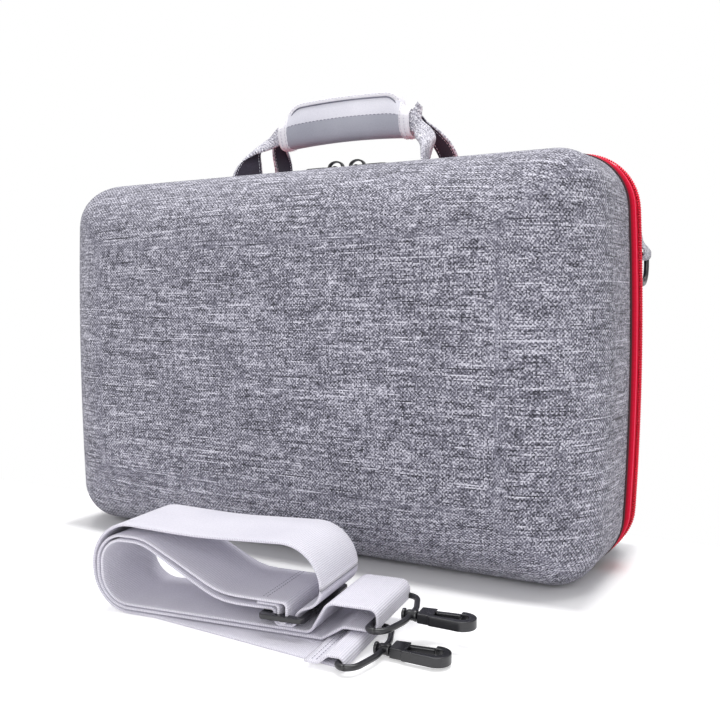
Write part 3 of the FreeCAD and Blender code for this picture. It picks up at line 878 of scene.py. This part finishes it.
def strap_ring_piece(name, ring):
    """Bent wire ring at an end of the strap, with the barrel that the hook turns in."""
    half = STRAP_WIDTH / 2 + 2 * RING_WIRE
    slope = half - RING_SLOPE
    corners = [(0, -half, 4), (0, half, 4), (RING_SHOULDER, slope, 7.5), (RING_REACH, RING_NOSE, 18),
               (RING_REACH, -RING_NOSE, 18), (RING_SHOULDER, -slope, 7.5)]
    flat = rounded_path([(Vector((u, w, 0)), r * MM) for u, w, r in corners], True, math.radians(8), 3 * MM)
    path = [to_floor(ring.x + p.x, ring.y, ring.z + p.y) for p in flat]
    bent = wire("wire", path, RING_WIRE, 14, True)
    rows = []
    for along, radius in BARREL:
        for a, b in circle_profile(radius * MM, 20):
            rows.append(to_floor(ring.x + RING_REACH + along * MM, ring.y + b, ring.z + a))
    barrel = new_object("barrel", rows, rows_to_faces(len(BARREL), 20, True))
    whole = join_objects("strap_ring_%s_wire" % name, bent, barrel)
    metal_piece(whole, "ring_" + name, "strap_ring_" + name)


strap_ring_piece("a", RING_A)
strap_ring_piece("b", RING_B)


# sewing

# one stitch: place along its length, height and half width as shares of its length and radius
STITCH_PROFILE = ((-0.5, -0.4, 0.5), (-0.3, 0.7, 1.0), (0.3, 0.7, 1.0), (0.5, -0.4, 0.5))
STITCH_SINK = 0.6
# pitch, length and radius of the stitches, in millimetres
LOOP_STITCH = (2.4, 2.0, 0.36)
CUFF_STITCH = (2.4, 1.6, 0.3)
EDGE_STITCH = (2.6, 1.8, 0.26)
SEAM_STITCH = (3.0, 2.2, 0.42)
STRAP_STITCH = (2.4, 1.9, 0.3)


def sew(name, points, normals, stitch, thread, body, slot):
    """Row of thread stitches lying on a surface along a line of points."""
    pitch, length, radius = (size * MM for size in stitch)
    stitches = []
    for at, along, i, _ in places_along(points, pitch, pitch / 2):
        up = normals[i]
        side = along.cross(up).normalized()
        rings = []
        for t, lift, wide in STITCH_PROFILE:
            middle = at + along * (length * t)
            low, reach = middle - up * (radius * STITCH_SINK), side * (radius * wide)
            rings.append((low - reach, middle + up * (radius * lift), low + reach))
        stitches.append(rings)
    dress(small_solids(name, stitches), body, slot, [thread])


# carrying handle

# The legs of both loops, from the grip down to the foot, in millimetres. Each row has the x past the grip's
# end, the y past the rim and the z above the case's top, and each of these first for the webbing's lower edge
# and then for its upper edge. The soft legs are not alike.
FRONT_LEFT = ((6.5, 9.5, 0.5, -5.8, 21.3, 31.0), (13.0, 15.5, 9.5, -4.5, 17.4, 25.5),
              (17.8, 16.0, 17.0, -1.5, 12.3, 19.0), (20.0, 13.5, 22.0, 0.8, 6.5, 11.0),
              (21.3, 12.0, 25.0, 1.2, 0.0, 0.5), (21.3, 12.0, 25.5, 1.2, -3.2, -2.2))
FRONT_RIGHT = ((6.5, 9.5, 0.5, -5.8, 18.8, 30.5), (13.0, 16.0, 9.5, -4.5, 14.4, 24.5),
               (18.0, 20.0, 17.0, -1.5, 9.6, 18.5), (20.8, 18.0, 22.0, 0.8, 4.8, 10.5),
               (22.5, 15.0, 25.0, 1.2, -0.5, 0.5), (22.5, 15.0, 25.5, 1.2, -3.7, -2.2))
BACK_LEFT = ((6.0, 8.5, 2.0, -5.8, 22.0, 33.0), (11.5, 15.0, 15.0, -4.0, 19.0, 27.5),
             (15.0, 16.5, 22.0, -1.5, 12.0, 19.5), (17.0, 16.0, 25.5, 0.8, 5.5, 10.0),
             (17.3, 16.0, 26.4, 1.2, -2.0, -0.5), (17.3, 16.0, 26.4, 1.2, -6.4, -4.0))
BACK_RIGHT = ((4.5, 9.0, -3.5, -5.8, 22.0, 31.5), (8.0, 16.5, 3.0, -5.0, 18.0, 25.5),
              (10.0, 23.5, 9.0, -2.5, 12.0, 17.5), (11.0, 27.5, 13.5, 0.0, 5.5, 9.0),
              (11.0, 29.5, 16.0, 1.2, -1.0, 0.5), (11.0, 29.5, 16.0, 1.2, -5.0, -4.0))
TUCK_START = 0.6 * GRIP_HALF
TUCK_END = GRIP_HALF + 1.5 * MM
TUCK_LOW = 9.5 * MM
TUCK_HIGH = 4.0 * MM
TUCK_RISE = 3.0 * MM
WEB_BOW = 1.2 * MM
WEB_SEAM = 5 * MM
LEG_STEPS = 10
# share of the half width that gets the dark cloth of painted shade inside the loop
WEB_EDGE = 0.92


def handle_web(name, s, left_rows, right_rows):
    """One loop of webbing and its frames of (centre, across, through, width); s is as for the tapes."""
    y = ZIP_Y + s * WEB_APART
    rim = FRONT_RIM if s < 0 else BACK_RIM

    def leg(side, rows):
        tucked = ((side * TUCK_START, GRIP_Z + TUCK_RISE), (side * TUCK_END, GRIP_Z))
        lows = [Vector((x, y, z - TUCK_LOW)) for x, z in tucked]
        highs = [Vector((x, y, z + TUCK_HIGH)) for x, z in tucked]
        for row in rows:
            for edge, (out, past, up) in ((lows, row[0::2]), (highs, row[1::2])):
                edge.append(Vector((side * (GRIP_HALF + out * MM), rim + s * past * MM, HEIGHT + up * MM)))
        return list(zip(catmull(lows, LEG_STEPS), catmull(highs, LEG_STEPS)))

    run = leg(-1, left_rows)[::-1] + leg(1, right_rows)
    frames = []
    for (low, high), along in zip(run, directions([low + high for low, high in run])):
        across = (high - low).normalized()
        frames.append(((low + high) / 2, across, along.cross(across).normalized(), (high - low).length))
    verts, uvs = [], []
    thin = WEB_THICK / WEB_WIDTH
    profile = strip_profile(2.0, 2.0 * thin, 14)
    for (centre, across, through, width), length in zip(frames, lengths([place[0] for place in frames])):
        for p, q in profile:
            bow = -s * WEB_BOW * (1 - p * p)
            verts.append(centre + across * (p * width / 2) + through * (q * WEB_WIDTH / 2 + bow))
            uvs.append((length, p * width / 2))
    # faces inside the loop take the dark cloth, as painted shade
    shaded_inside = []
    for (p, q), (next_p, next_q) in zip(profile, profile[1:] + profile[:1]):
        inside = s * (q + next_q) > 0.2 * thin and max(abs(p), abs(next_p)) < WEB_EDGE
        shaded_inside.append(1 if inside else 0)
    ids = shaded_inside * (len(frames) - 1) + [0, 0]
    return new_object(name, verts, tube_faces(len(frames), len(profile)), uvs, ids), frames


for half, s, body, legs in (("front", -1, "case", (FRONT_LEFT, FRONT_RIGHT)),
                            ("back", 1, "lid", (BACK_LEFT, BACK_RIGHT))):
    web, web_frames = handle_web(half + "_loop", s, *legs)
    dress(web, body, "handle_webbing", [HANDLE_CLOTH, WEB_INSIDE_SHADE], half + "_handle_web")
    for edge in (-1, 1):
        for face in (-1, 1):
            line = []
            for centre, across, through, width in web_frames:
                inset = edge * (1 - WEB_SEAM / width)
                lift = face * WEB_THICK / 2 - s * WEB_BOW * (1 - inset * inset)
                line.append(centre + across * (inset * width / 2) + through * lift)
            ups = [through * face for _, _, through, _ in web_frames]
            name = "%s_loop_stitch_%d%d" % (half, edge + 1, face + 1)
            sew(name, line, ups, LOOP_STITCH, PALE_THREAD, body, "handle_webbing")

# corners of the folded piece past the grip's right end, in millimetres
FOLD_CORNERS = ((0.2, -4.4, 2.5), (4.4, -3.0, 10.2), (6.8, -1.0, 7.2), (7.2, -3.4, -1.5))
FOLD_BULGE = 1.6 * MM
FOLD_THICK = 1.3 * MM
FOLD_WIDE = 7 * MM
FOLD_TALL = 9 * MM
FOLD_STEPS = 6


def folded_corner():
    """Corner of the front loop that stands up beside the grip's right end."""
    a, b, c, d = (Vector((GRIP_HALF + x * MM, ZIP_Y + y * MM, GRIP_Z + z * MM)) for x, y, z in FOLD_CORNERS)

    def point(face, u, v):
        place = a.lerp(d, u).lerp(b.lerp(c, u), v)
        bulge = FOLD_BULGE * math.sin(math.pi * u) * (0.4 + 0.6 * v)
        return place + Vector((0, face * FOLD_THICK - bulge, 0)), (u * FOLD_WIDE, v * FOLD_TALL)

    fold = block("front_loop_corner", FOLD_STEPS, FOLD_STEPS, point)
    dress(fold, "case", "handle_webbing", [HANDLE_CLOTH])


folded_corner()

# section of the wrap from the bottom round by the front, in millimetres; the upper part is the sewn-up flap
GRIP_PROFILE = ((0, -11.6), (-3.2, -11.5), (-6.0, -10.0), (-7.9, -6.4), (-8.9, -1.6), (-8.7, 3.0),
                (-8.5, 5.2), (-7.6, 9.0), (-6.4, 13.4), (-5.0, 17.2), (-2.6, 18.6), (-0.2, 17.0), (3.2, 13.0),
                (6.2, 8.0), (8.1, 3.4), (8.7, -1.4), (8.0, -6.2), (6.2, -9.8), (3.4, -11.4))
# numbers of the section's points at the front seam, the ridge and the back seam
GRIP_FRONT_SEAM, GRIP_RIDGE, GRIP_BACK_SEAM = 5, 10, 14
GRIP_MID = 283 * MM
GRIP_CORNER = 13 * MM
GRIP_CUFF = 7 * MM
FLAP_HALF = GRIP_HALF - 5 * MM
FLAP_DROP = 0.62
# binding round the grip's ends: distance past the end, growth of the section, in millimetres
CUFF_PROFILE = ((0.6, -1.0), (0.6, 0.1), (0.2, 0.7), (-3.0, 0.85), (-6.4, 0.7), (-7.0, -0.4))
CUFF_ROWS = (2.4 * MM, 5.6 * MM)
CUFF_GROW = 0.8
# section of the binding over the flap's ridge: out from it and across it, in millimetres
FLAP_BINDING = ((-3.6, -3.9), (-1.4, -3.0), (0.5, -1.9), (1.2, 0.0), (0.5, 1.9), (-1.4, 3.0), (-3.6, 3.9),
                (-3.9, 0.0))
# a thin dark wire along the step under the flap's binding stands for the shade there: painted shade
STEP_SHADE = Vector((-3.9, 3.8)) * MM
STEP_SHADE_RADIUS = 0.5 * MM
FLAP_SEAM = Vector((-1.2, 3.1)) * MM


def grip_top(x):
    """Share of the flap's full height left at x, rounded off towards both ends."""
    past = min(max(abs(x) - (FLAP_HALF - GRIP_CORNER), 0) / GRIP_CORNER, 1)
    return 1 - FLAP_DROP * (1 - math.sqrt(1 - past * past))


def grip_ring(x, grow=0.0):
    """Points round the grip at x, its section grown outwards by grow millimetres."""
    lift = GRIP_ARCH * (1 - (x / GRIP_HALF) ** 2)
    share = grip_top(x)
    ring = []
    for y, z in GRIP_PROFILE:
        scale = 1 + grow / math.hypot(y, z)
        tall = z * scale * (share if z > 0 else 1)
        ring.append(Vector((x, ZIP_Y + y * scale * MM, GRIP_MID + lift + tall * MM)))
    return ring


def grip_stations():
    """Places along the grip, close together where the flap's corners turn."""
    corner = [FLAP_HALF - GRIP_CORNER + GRIP_CORNER * math.sin(math.radians(a)) for a in range(9, 91, 9)]
    right = spread(0, FLAP_HALF - GRIP_CORNER, 12)[1:] + corner + spread(FLAP_HALF, GRIP_HALF, 2)[1:]
    return [-x for x in reversed(right)] + [0.0] + right


def loft(name, rings, capped=True, ids=None):
    """Skin over rings of points; ids gives the material of each strip along it."""
    verts = [v for ring in rings for v in ring]
    uvs = [(v.x, run) for ring in rings for v, run in zip(ring, lengths(ring))]
    all_ids = ids * (len(rings) - 1) + [0, 0] if ids else None
    return new_object(name, verts, tube_faces(len(rings), len(rings[0]), False, capped), uvs, all_ids)


# the wrap's lower faces take the darker copy of its cloth, as painted shade
under = [0 if GRIP_FRONT_SEAM <= j < GRIP_BACK_SEAM else 1 for j in range(len(GRIP_PROFILE))]
grip = loft("grip_padding", [grip_ring(x) for x in grip_stations()], ids=under)
dress(grip, "case", "grip_fabric", [GRIP_CLOTH, GRIP_SHADED], "grip_wrap")
for s, side in ((-1, "left"), (1, "right")):
    rings = []
    for past, grow in CUFF_PROFILE:
        x = GRIP_HALF + past * MM
        rings.append([Vector((s * x, v.y, v.z)) for v in grip_ring(min(x, GRIP_HALF), grow)])
    binding = loft("grip_binding_" + side, rings, capped=False)
    apply(binding, "SUBSURF", levels=1, render_levels=1)
    dress(binding, "case", "grip_fabric", [BINDING])
    for k, inset in enumerate(CUFF_ROWS):
        ring = grip_ring(GRIP_HALF - inset, CUFF_GROW)
        line = [Vector((s * p.x, p.y, p.z)) for p in catmull(ring + ring[:1], 4)]
        middle = sum(line, Vector()) / len(line)
        ups = [(p - middle).normalized() for p in line]
        sew("grip_cuff_%s_%d" % (side, k), line, ups, CUFF_STITCH, PALE_THREAD, "case", "grip_fabric")

ridge = [grip_ring(x)[GRIP_RIDGE] for x in grip_stations() if abs(x) < FLAP_HALF + 1 * MM]
ridge_frames = frames_along(catmull(ridge, 3), up=Vector((0, 1, 0)))
edge = sweep("grip_edge", ridge_frames, [(a * MM, b * MM) for a, b in FLAP_BINDING])
dress(edge, "case", "grip_fabric", [BINDING])
for face, side, index in ((1, "front", GRIP_FRONT_SEAM), (-1, "back", GRIP_BACK_SEAM)):
    # painted shade: a dark wire where the binding steps down onto the flap
    step_shade = [c + a * STEP_SHADE.x + b * (face * STEP_SHADE.y) for c, a, b in ridge_frames]
    cord = wire("grip_step_shade_" + side, step_shade, STEP_SHADE_RADIUS, 8, up=Vector((0, 1, 0)))
    dress(cord, "case", "grip_fabric", [THREAD_AND_SHADE])
    line = [c + a * FLAP_SEAM.x + b * (face * FLAP_SEAM.y) for c, a, b in ridge_frames]
    ups = [b * face for _, _, b in ridge_frames]
    sew("grip_edge_stitch_" + side, line, ups, EDGE_STITCH, PALE_THREAD, "case", "grip_fabric")
    seam = [grip_ring(x)[index] for x in spread(-GRIP_HALF + GRIP_CUFF, GRIP_HALF - GRIP_CUFF, 80)]
    ups = [Vector((0, -face, 0.1)).normalized()] * len(seam)
    sew("grip_seam_" + side, seam, ups, SEAM_STITCH, THREAD_AND_SHADE, "case", "grip_fabric")


# rings on the back half's sides

# slope of the back half's side where the tab is sewn on
TAB_LEAN = math.radians(12.3)
TAB_THICK = 1.3 * MM
TAB_LOOP = 2.7 * MM
TAB_INSET = 2 * MM
TAB_SINK = 1.5 * MM
# height above the ring's bar where the strip starts to follow the slope, and where it does in full
TAB_TURN = (4 * MM, 18 * MM)
D_RING_CORNER = 2.4 * MM
D_RING_BOW = 0.96


def d_ring_piece(side):
    """Bent wire ring; gives the place of its upper bar, which the tab holds."""
    low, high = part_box(side + "_d_ring")
    radius = (high.x - low.x) / 2
    x = (high.x + low.x) / 2
    y0, y1 = low.y + radius, high.y - radius
    bow = (y1 - y0) / 2 * D_RING_BOW
    top, bottom = high.z - radius, low.z + radius
    corners = [(Vector((x, y0, top)), D_RING_CORNER), (Vector((x, y1, top)), D_RING_CORNER),
               (Vector((x, y1, bottom)), bow), (Vector((x, y0, bottom)), bow)]
    path = rounded_path(corners, True, math.radians(8), 2 * MM)
    ring = wire(side + "_d_ring_wire", path, radius, 14, True, Vector((1, 0, 0)))
    metal_piece(ring, "d_ring_" + side, side + "_d_ring")
    return x, (y0 + y1) / 2, top


def ring_tab_piece(side, s):
    """Folded strip of webbing that holds the ring, sewn to the side of the back half."""
    x, y, z = d_ring_piece(side)
    low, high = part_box(side + "_ring_tab")
    r = TAB_LOOP
    face = abs(x) - r
    upper = high.z - TAB_INSET
    lie = abs(low.x + high.x) / 2 - TAB_SINK
    # from the sewn end down the side, round the ring's bar and up again on the outside
    corners = ((lie - 0.6 * MM, upper, 0), (lie + 1.2 * MM, z + 10 * MM, 20 * MM), (face, z - r, r),
               (face + 2 * r, z - r, r), (face + 2 * r, z + r * 0.9, 2.6 * MM),
               (lie + 2.8 * MM, z + 8 * MM, 6 * MM), (lie + 0.9 * MM, upper - 3 * MM, 0))
    corners = [(Vector((out, up, 0)), bend) for out, up, bend in corners]
    path = rounded_path(corners, False, math.radians(10), 2 * MM)
    frames = []
    for p, way in zip(path, directions(path)):
        along = Vector((s * way.x, 0, way.y)).normalized()
        sewn = min(max((p.y - z - TAB_TURN[0]) / (TAB_TURN[1] - TAB_TURN[0]), 0), 1)
        wide = Vector((-s * math.tan(TAB_LEAN) * sewn, 1, 0)).normalized()
        frames.append((Vector((s * p.x, y, p.y)), wide, along.cross(wide).normalized()))
    tab = sweep(side + "_tab_webbing", frames, strip_profile(high.y - low.y, TAB_THICK))
    dress(tab, "lid", "handle_webbing", [HANDLE_CLOTH], side + "_ring_tab")


for side, s in (("left", -1), ("right", 1)):
    ring_tab_piece(side, s)


# inside

def foam_piece(node, name, body):
    """Foam block with softened edges."""
    foam = cast_copy(node, FOAM_CAST)
    foam.name = name
    dress(foam, body, "foam", [FOAM], node)


foam_piece("foam_tray", "foam_tray_block", "case")
foam_piece("lid_pad", "lid_pad_block", "lid")


# shoulder strap

def strap_route():
    """Corners of the strap's route as (u, v, bend radius, w), all in millimetres."""
    pitch = 2.15
    lay1, lay2, lay3 = 0.75, 0.75 + pitch, 0.75 + 2 * pitch
    fold = 3.05
    ua, va, wa = RING_A / MM
    ub, vb, wb = RING_B / MM
    gc, gv = GLIDE.x / MM, GLIDE.y / MM
    slot, wrap = 5.25, 2.55
    under, over = gv - wrap - pitch, gv + wrap
    fold_v = over + pitch
    sewn_v = fold_v + pitch
    left2, inner2 = -74.3, 41.0
    left3, inner3 = left2 + 2.475, inner2 - 2.475
    arch_v = vb + fold + 2 * pitch
    turn = -40.0
    return [(ua - 16, lay2, 0, wa), (ua - 9.5, lay2, 3, wa), (ua - 5, va + fold, 3, wa),
            (ua + fold, va + fold, fold, wa), (ua + fold, va - fold, fold, wa), (turn, lay1, 0, 0),
            (-77, lay1, 22.4, 0), (-77, 48.2, 22, 0), (-15, 45.2, 300, 0), (54.5, 47.4, 21, 0),
            (54.5, 19.2, 10, 0), (gc + slot, gv + 2.5, 8, 0), (gc + slot, under, 2.2, 0),
            (gc - slot, under, 2.2, 0), (gc - slot, over, 2.2, 0), (-1, over, 40, 0), (-46.7, inner3, 26, 0),
            (left3, inner3, 12.6, 0), (left3, lay3, 16.4, 0), (turn, lay3, 0, 0), (gc + 9, lay3, 0, wb),
            (gc + 13.5, lay3, 5, wb), (gc + 22.5, arch_v, 6, wb), (ub + fold, arch_v, 4, wb),
            (ub + fold, vb - fold, fold, wb), (ub - 14, vb - fold, 5, wb), (ub - 25, lay2, 5, wb),
            (ub - 30, lay2, 0, wb), (turn, lay2, 0, 0), (left2, lay2, 19, 0), (left2, inner2, 15, 0),
            (-46, inner2, 28, 0), (0, sewn_v, 40, 0), (gc + wrap, sewn_v, wrap, 0),
            (gc + wrap, gv - wrap, wrap, 0), (gc - wrap, gv - wrap, wrap, 0), (gc - wrap, fold_v, 2, 0),
            (gc - 15, fold_v, 0, 0)]


def strap_piece():
    """Webbing along the route, drifting across it from one ring's place to the other's."""
    route = [(Vector((u, v, 0)) * MM, r * MM, w * MM) for u, v, r, w in strap_route()]
    path = rounded_path([(p, r) for p, r, _ in route], False, math.radians(10), 4 * MM)
    at, knots = 0, []
    for corner, _, w in route:
        at = min(range(at, len(path)), key=lambda i: (path[i] - corner).length)
        knots.append((at, w))
    drift = [0.0] * len(path)
    for (i0, w0), (i1, w1) in zip(knots, knots[1:]):
        for i in range(i0, i1 + 1):
            drift[i] = w0 + (w1 - w0) * (i - i0) / max(i1 - i0, 1)
    across = to_floor(0, 0, 1) - to_floor(0, 0, 0)
    frames = []
    for p, way, w in zip(path, directions(path), drift):
        tangent = (to_floor(way.x, way.y, 0) - STRAP_AT).normalized()
        frames.append((to_floor(p.x, p.y, w), across, tangent.cross(across)))
    strap = sweep("shoulder_strap", frames, strip_profile(STRAP_WIDTH, STRAP_THICK, 12))
    dress(strap, "case", "strap_webbing", [STRAP_CLOTH], "strap_webbing")


strap_piece()


SEWN_INSET = 1.5 * MM
SEWN_APART = 2.2 * MM


def strap_stitches(name, u, v, w):
    """Sewing across the strap where an end is folded back."""
    half = STRAP_WIDTH / 2 - SEWN_INSET
    for k, shift in enumerate((0.0, SEWN_APART)):
        line = [to_floor(u + shift, v, w + b) for b in spread(-half, half, 30)]
        ups = [Vector((0, 0, 1))] * len(line)
        sew("%s_%d" % (name, k), line, ups, STRAP_STITCH, THREAD_AND_SHADE, "case", "strap_webbing")


strap_stitches("strap_sewing_glide", GLIDE.x - 12.5 * MM, 19.0 * MM, 0.0)
strap_stitches("strap_sewing_a", RING_A.x - 13 * MM, 3.7 * MM, RING_A.z)


# stage, light and camera

FLOOR_WIDE = 6.0
FLOOR_NEAR = -4.0
FLOOR_HINGE = ZIP_Y - 4 * MM
FLOOR_RIGHT = 165 * MM
FLOOR_EDGE = back_high.y + 12 * MM
# size of the painted shadow, where the floor's glow is cut round the bag
SHADE_INSET = 12 * MM
SHADE_WIDTH = 16 * MM
# the floor's own light, which grows with the distance from the frame's origin
GLOW = dict(from_min=0.7, from_max=1.8, to_min=0.4, to_max=0.7)
WORLD_STRENGTH = 0.48


def seen_ray(tree):
    """1 for rays that show a surface directly, in a mirror or through glass; 0 for rays that light it."""
    path = tree.nodes.new("ShaderNodeLightPath")
    total = path.outputs["Is Camera Ray"]
    for ray in ("Is Glossy Ray", "Is Transmission Ray"):
        either = tree.nodes.new("ShaderNodeMath")
        either.operation = "MAXIMUM"
        tree.links.new(total, either.inputs[0])
        tree.links.new(path.outputs[ray], either.inputs[1])
        total = either.outputs[0]
    return total


def glow_past_painted_shadow(paint):
    """Painted shadow round the bag: 0 under the bag, rising to 1 a little way outside its footprint, so that
    the floor's glow is cut there on top of its real shadow.
    """
    def step(kind, *values):
        return paint.add("ShaderNodeVectorMath", dict(enumerate(values)), operation=kind).outputs

    half = (HALF_WIDTH - SHADE_INSET, back_high.y - SHADE_INSET, 0.0)
    away = step("ABSOLUTE", paint.coords("Object"))["Vector"]
    past = step("MAXIMUM", step("SUBTRACT", away, half)["Vector"], (0.0, 0.0, 0.0))["Vector"]
    limits = {"From Max": SHADE_WIDTH, "Value": step("LENGTH", past)["Value"]}
    return paint.add("ShaderNodeMapRange", limits, interpolation_type="SMOOTHSTEP").outputs["Result"]


def stage_floor():
    """White floor that stops at the hinge, to leave room for the opened lid, but goes on at the right."""
    front = [(x, y, 0) for y in (FLOOR_NEAR, FLOOR_HINGE) for x in (-FLOOR_WIDE, FLOOR_RIGHT, FLOOR_WIDE)]
    verts = front + [(FLOOR_RIGHT, FLOOR_EDGE, 0), (FLOOR_WIDE, FLOOR_EDGE, 0)]
    floor = new_object("floor", verts, [(0, 1, 4, 3), (1, 2, 5, 4), (4, 5, 7, 6)], solid=False)
    paint = Paint("floor_white", 0.9)
    paint.color(paint.speckle(3), (0.2, (0.90, 0.895, 0.905)), (0.8, (0.92, 0.915, 0.925)))
    away = paint.add("ShaderNodeVectorMath", {0: paint.coords("Object")}, operation="LENGTH")
    # the glow is cut round the bag, a painted shadow on top of the real one
    lift = paint.math("MULTIPLY", paint.ranged(away.outputs["Value"], **GLOW), glow_past_painted_shadow(paint))
    strength = paint.math("MULTIPLY", seen_ray(paint.tree), lift)
    glow = paint.add("ShaderNodeEmission", {"Strength": strength})
    both = paint.add("ShaderNodeAddShader", {0: paint.shader.outputs[0], 1: glow.outputs[0]})
    paint.feed(paint.tree.nodes["Material Output"], {"Surface": both.outputs[0]})
    floor.data.materials.append(paint.material)


def area_light(name, at, target, size, watts):
    data = bpy.data.lights.new(name, "AREA")
    data.shape = "RECTANGLE"
    data.size, data.size_y = size
    data.energy = watts
    obj = bpy.data.objects.new(name, data)
    obj.location = at
    obj.rotation_euler = (Vector(target) - Vector(at)).to_track_quat("-Z", "Y").to_euler()
    bpy.context.scene.collection.objects.link(obj)


def world_light(strength):
    world = bpy.data.worlds.new("studio")
    bpy.context.scene.world = world
    world.use_nodes = True
    tree = world.node_tree
    back = tree.nodes["Background"]
    back.inputs["Color"].default_value = (1, 1, 1, 1)
    mix = tree.nodes.new("ShaderNodeMapRange")
    mix.inputs["To Min"].default_value = strength
    mix.inputs["To Max"].default_value = 1.0
    tree.links.new(seen_ray(tree), mix.inputs["Value"])
    tree.links.new(mix.outputs["Result"], back.inputs["Strength"])


def camera():
    data = bpy.data.cameras.new("camera")
    data.sensor_width = 36
    data.lens = CAMERA_LENS
    data.clip_start = 0.01
    data.clip_end = 100
    obj = bpy.data.objects.new("camera", data)
    level = math.cos(CAMERA_PITCH)
    forward = Vector((-math.sin(CAMERA_YAW) * level, math.cos(CAMERA_YAW) * level, math.sin(CAMERA_PITCH)))
    right = Vector((math.cos(CAMERA_YAW), math.sin(CAMERA_YAW), 0))
    up = right.cross(forward)
    turn = Matrix.Rotation(CAMERA_ROLL, 3, forward)
    pose = Matrix((turn @ right, turn @ up, -forward)).transposed().to_4x4()
    pose.translation = CAMERA_AT
    obj.matrix_world = pose
    bpy.context.scene.collection.objects.link(obj)
    bpy.context.scene.camera = obj


stage_floor()
world_light(WORLD_STRENGTH)
area_light("key", (0.7, -2.2, 1.05), (0.0, 0.0, 0.1), (2.0, 1.4), 23)
area_light("top", (0.0, 0.12, 1.5), (0.0, 0.0, 0.0), (1.4, 0.7), 19)
camera()
bpy.context.scene.view_settings.view_transform = "Standard"
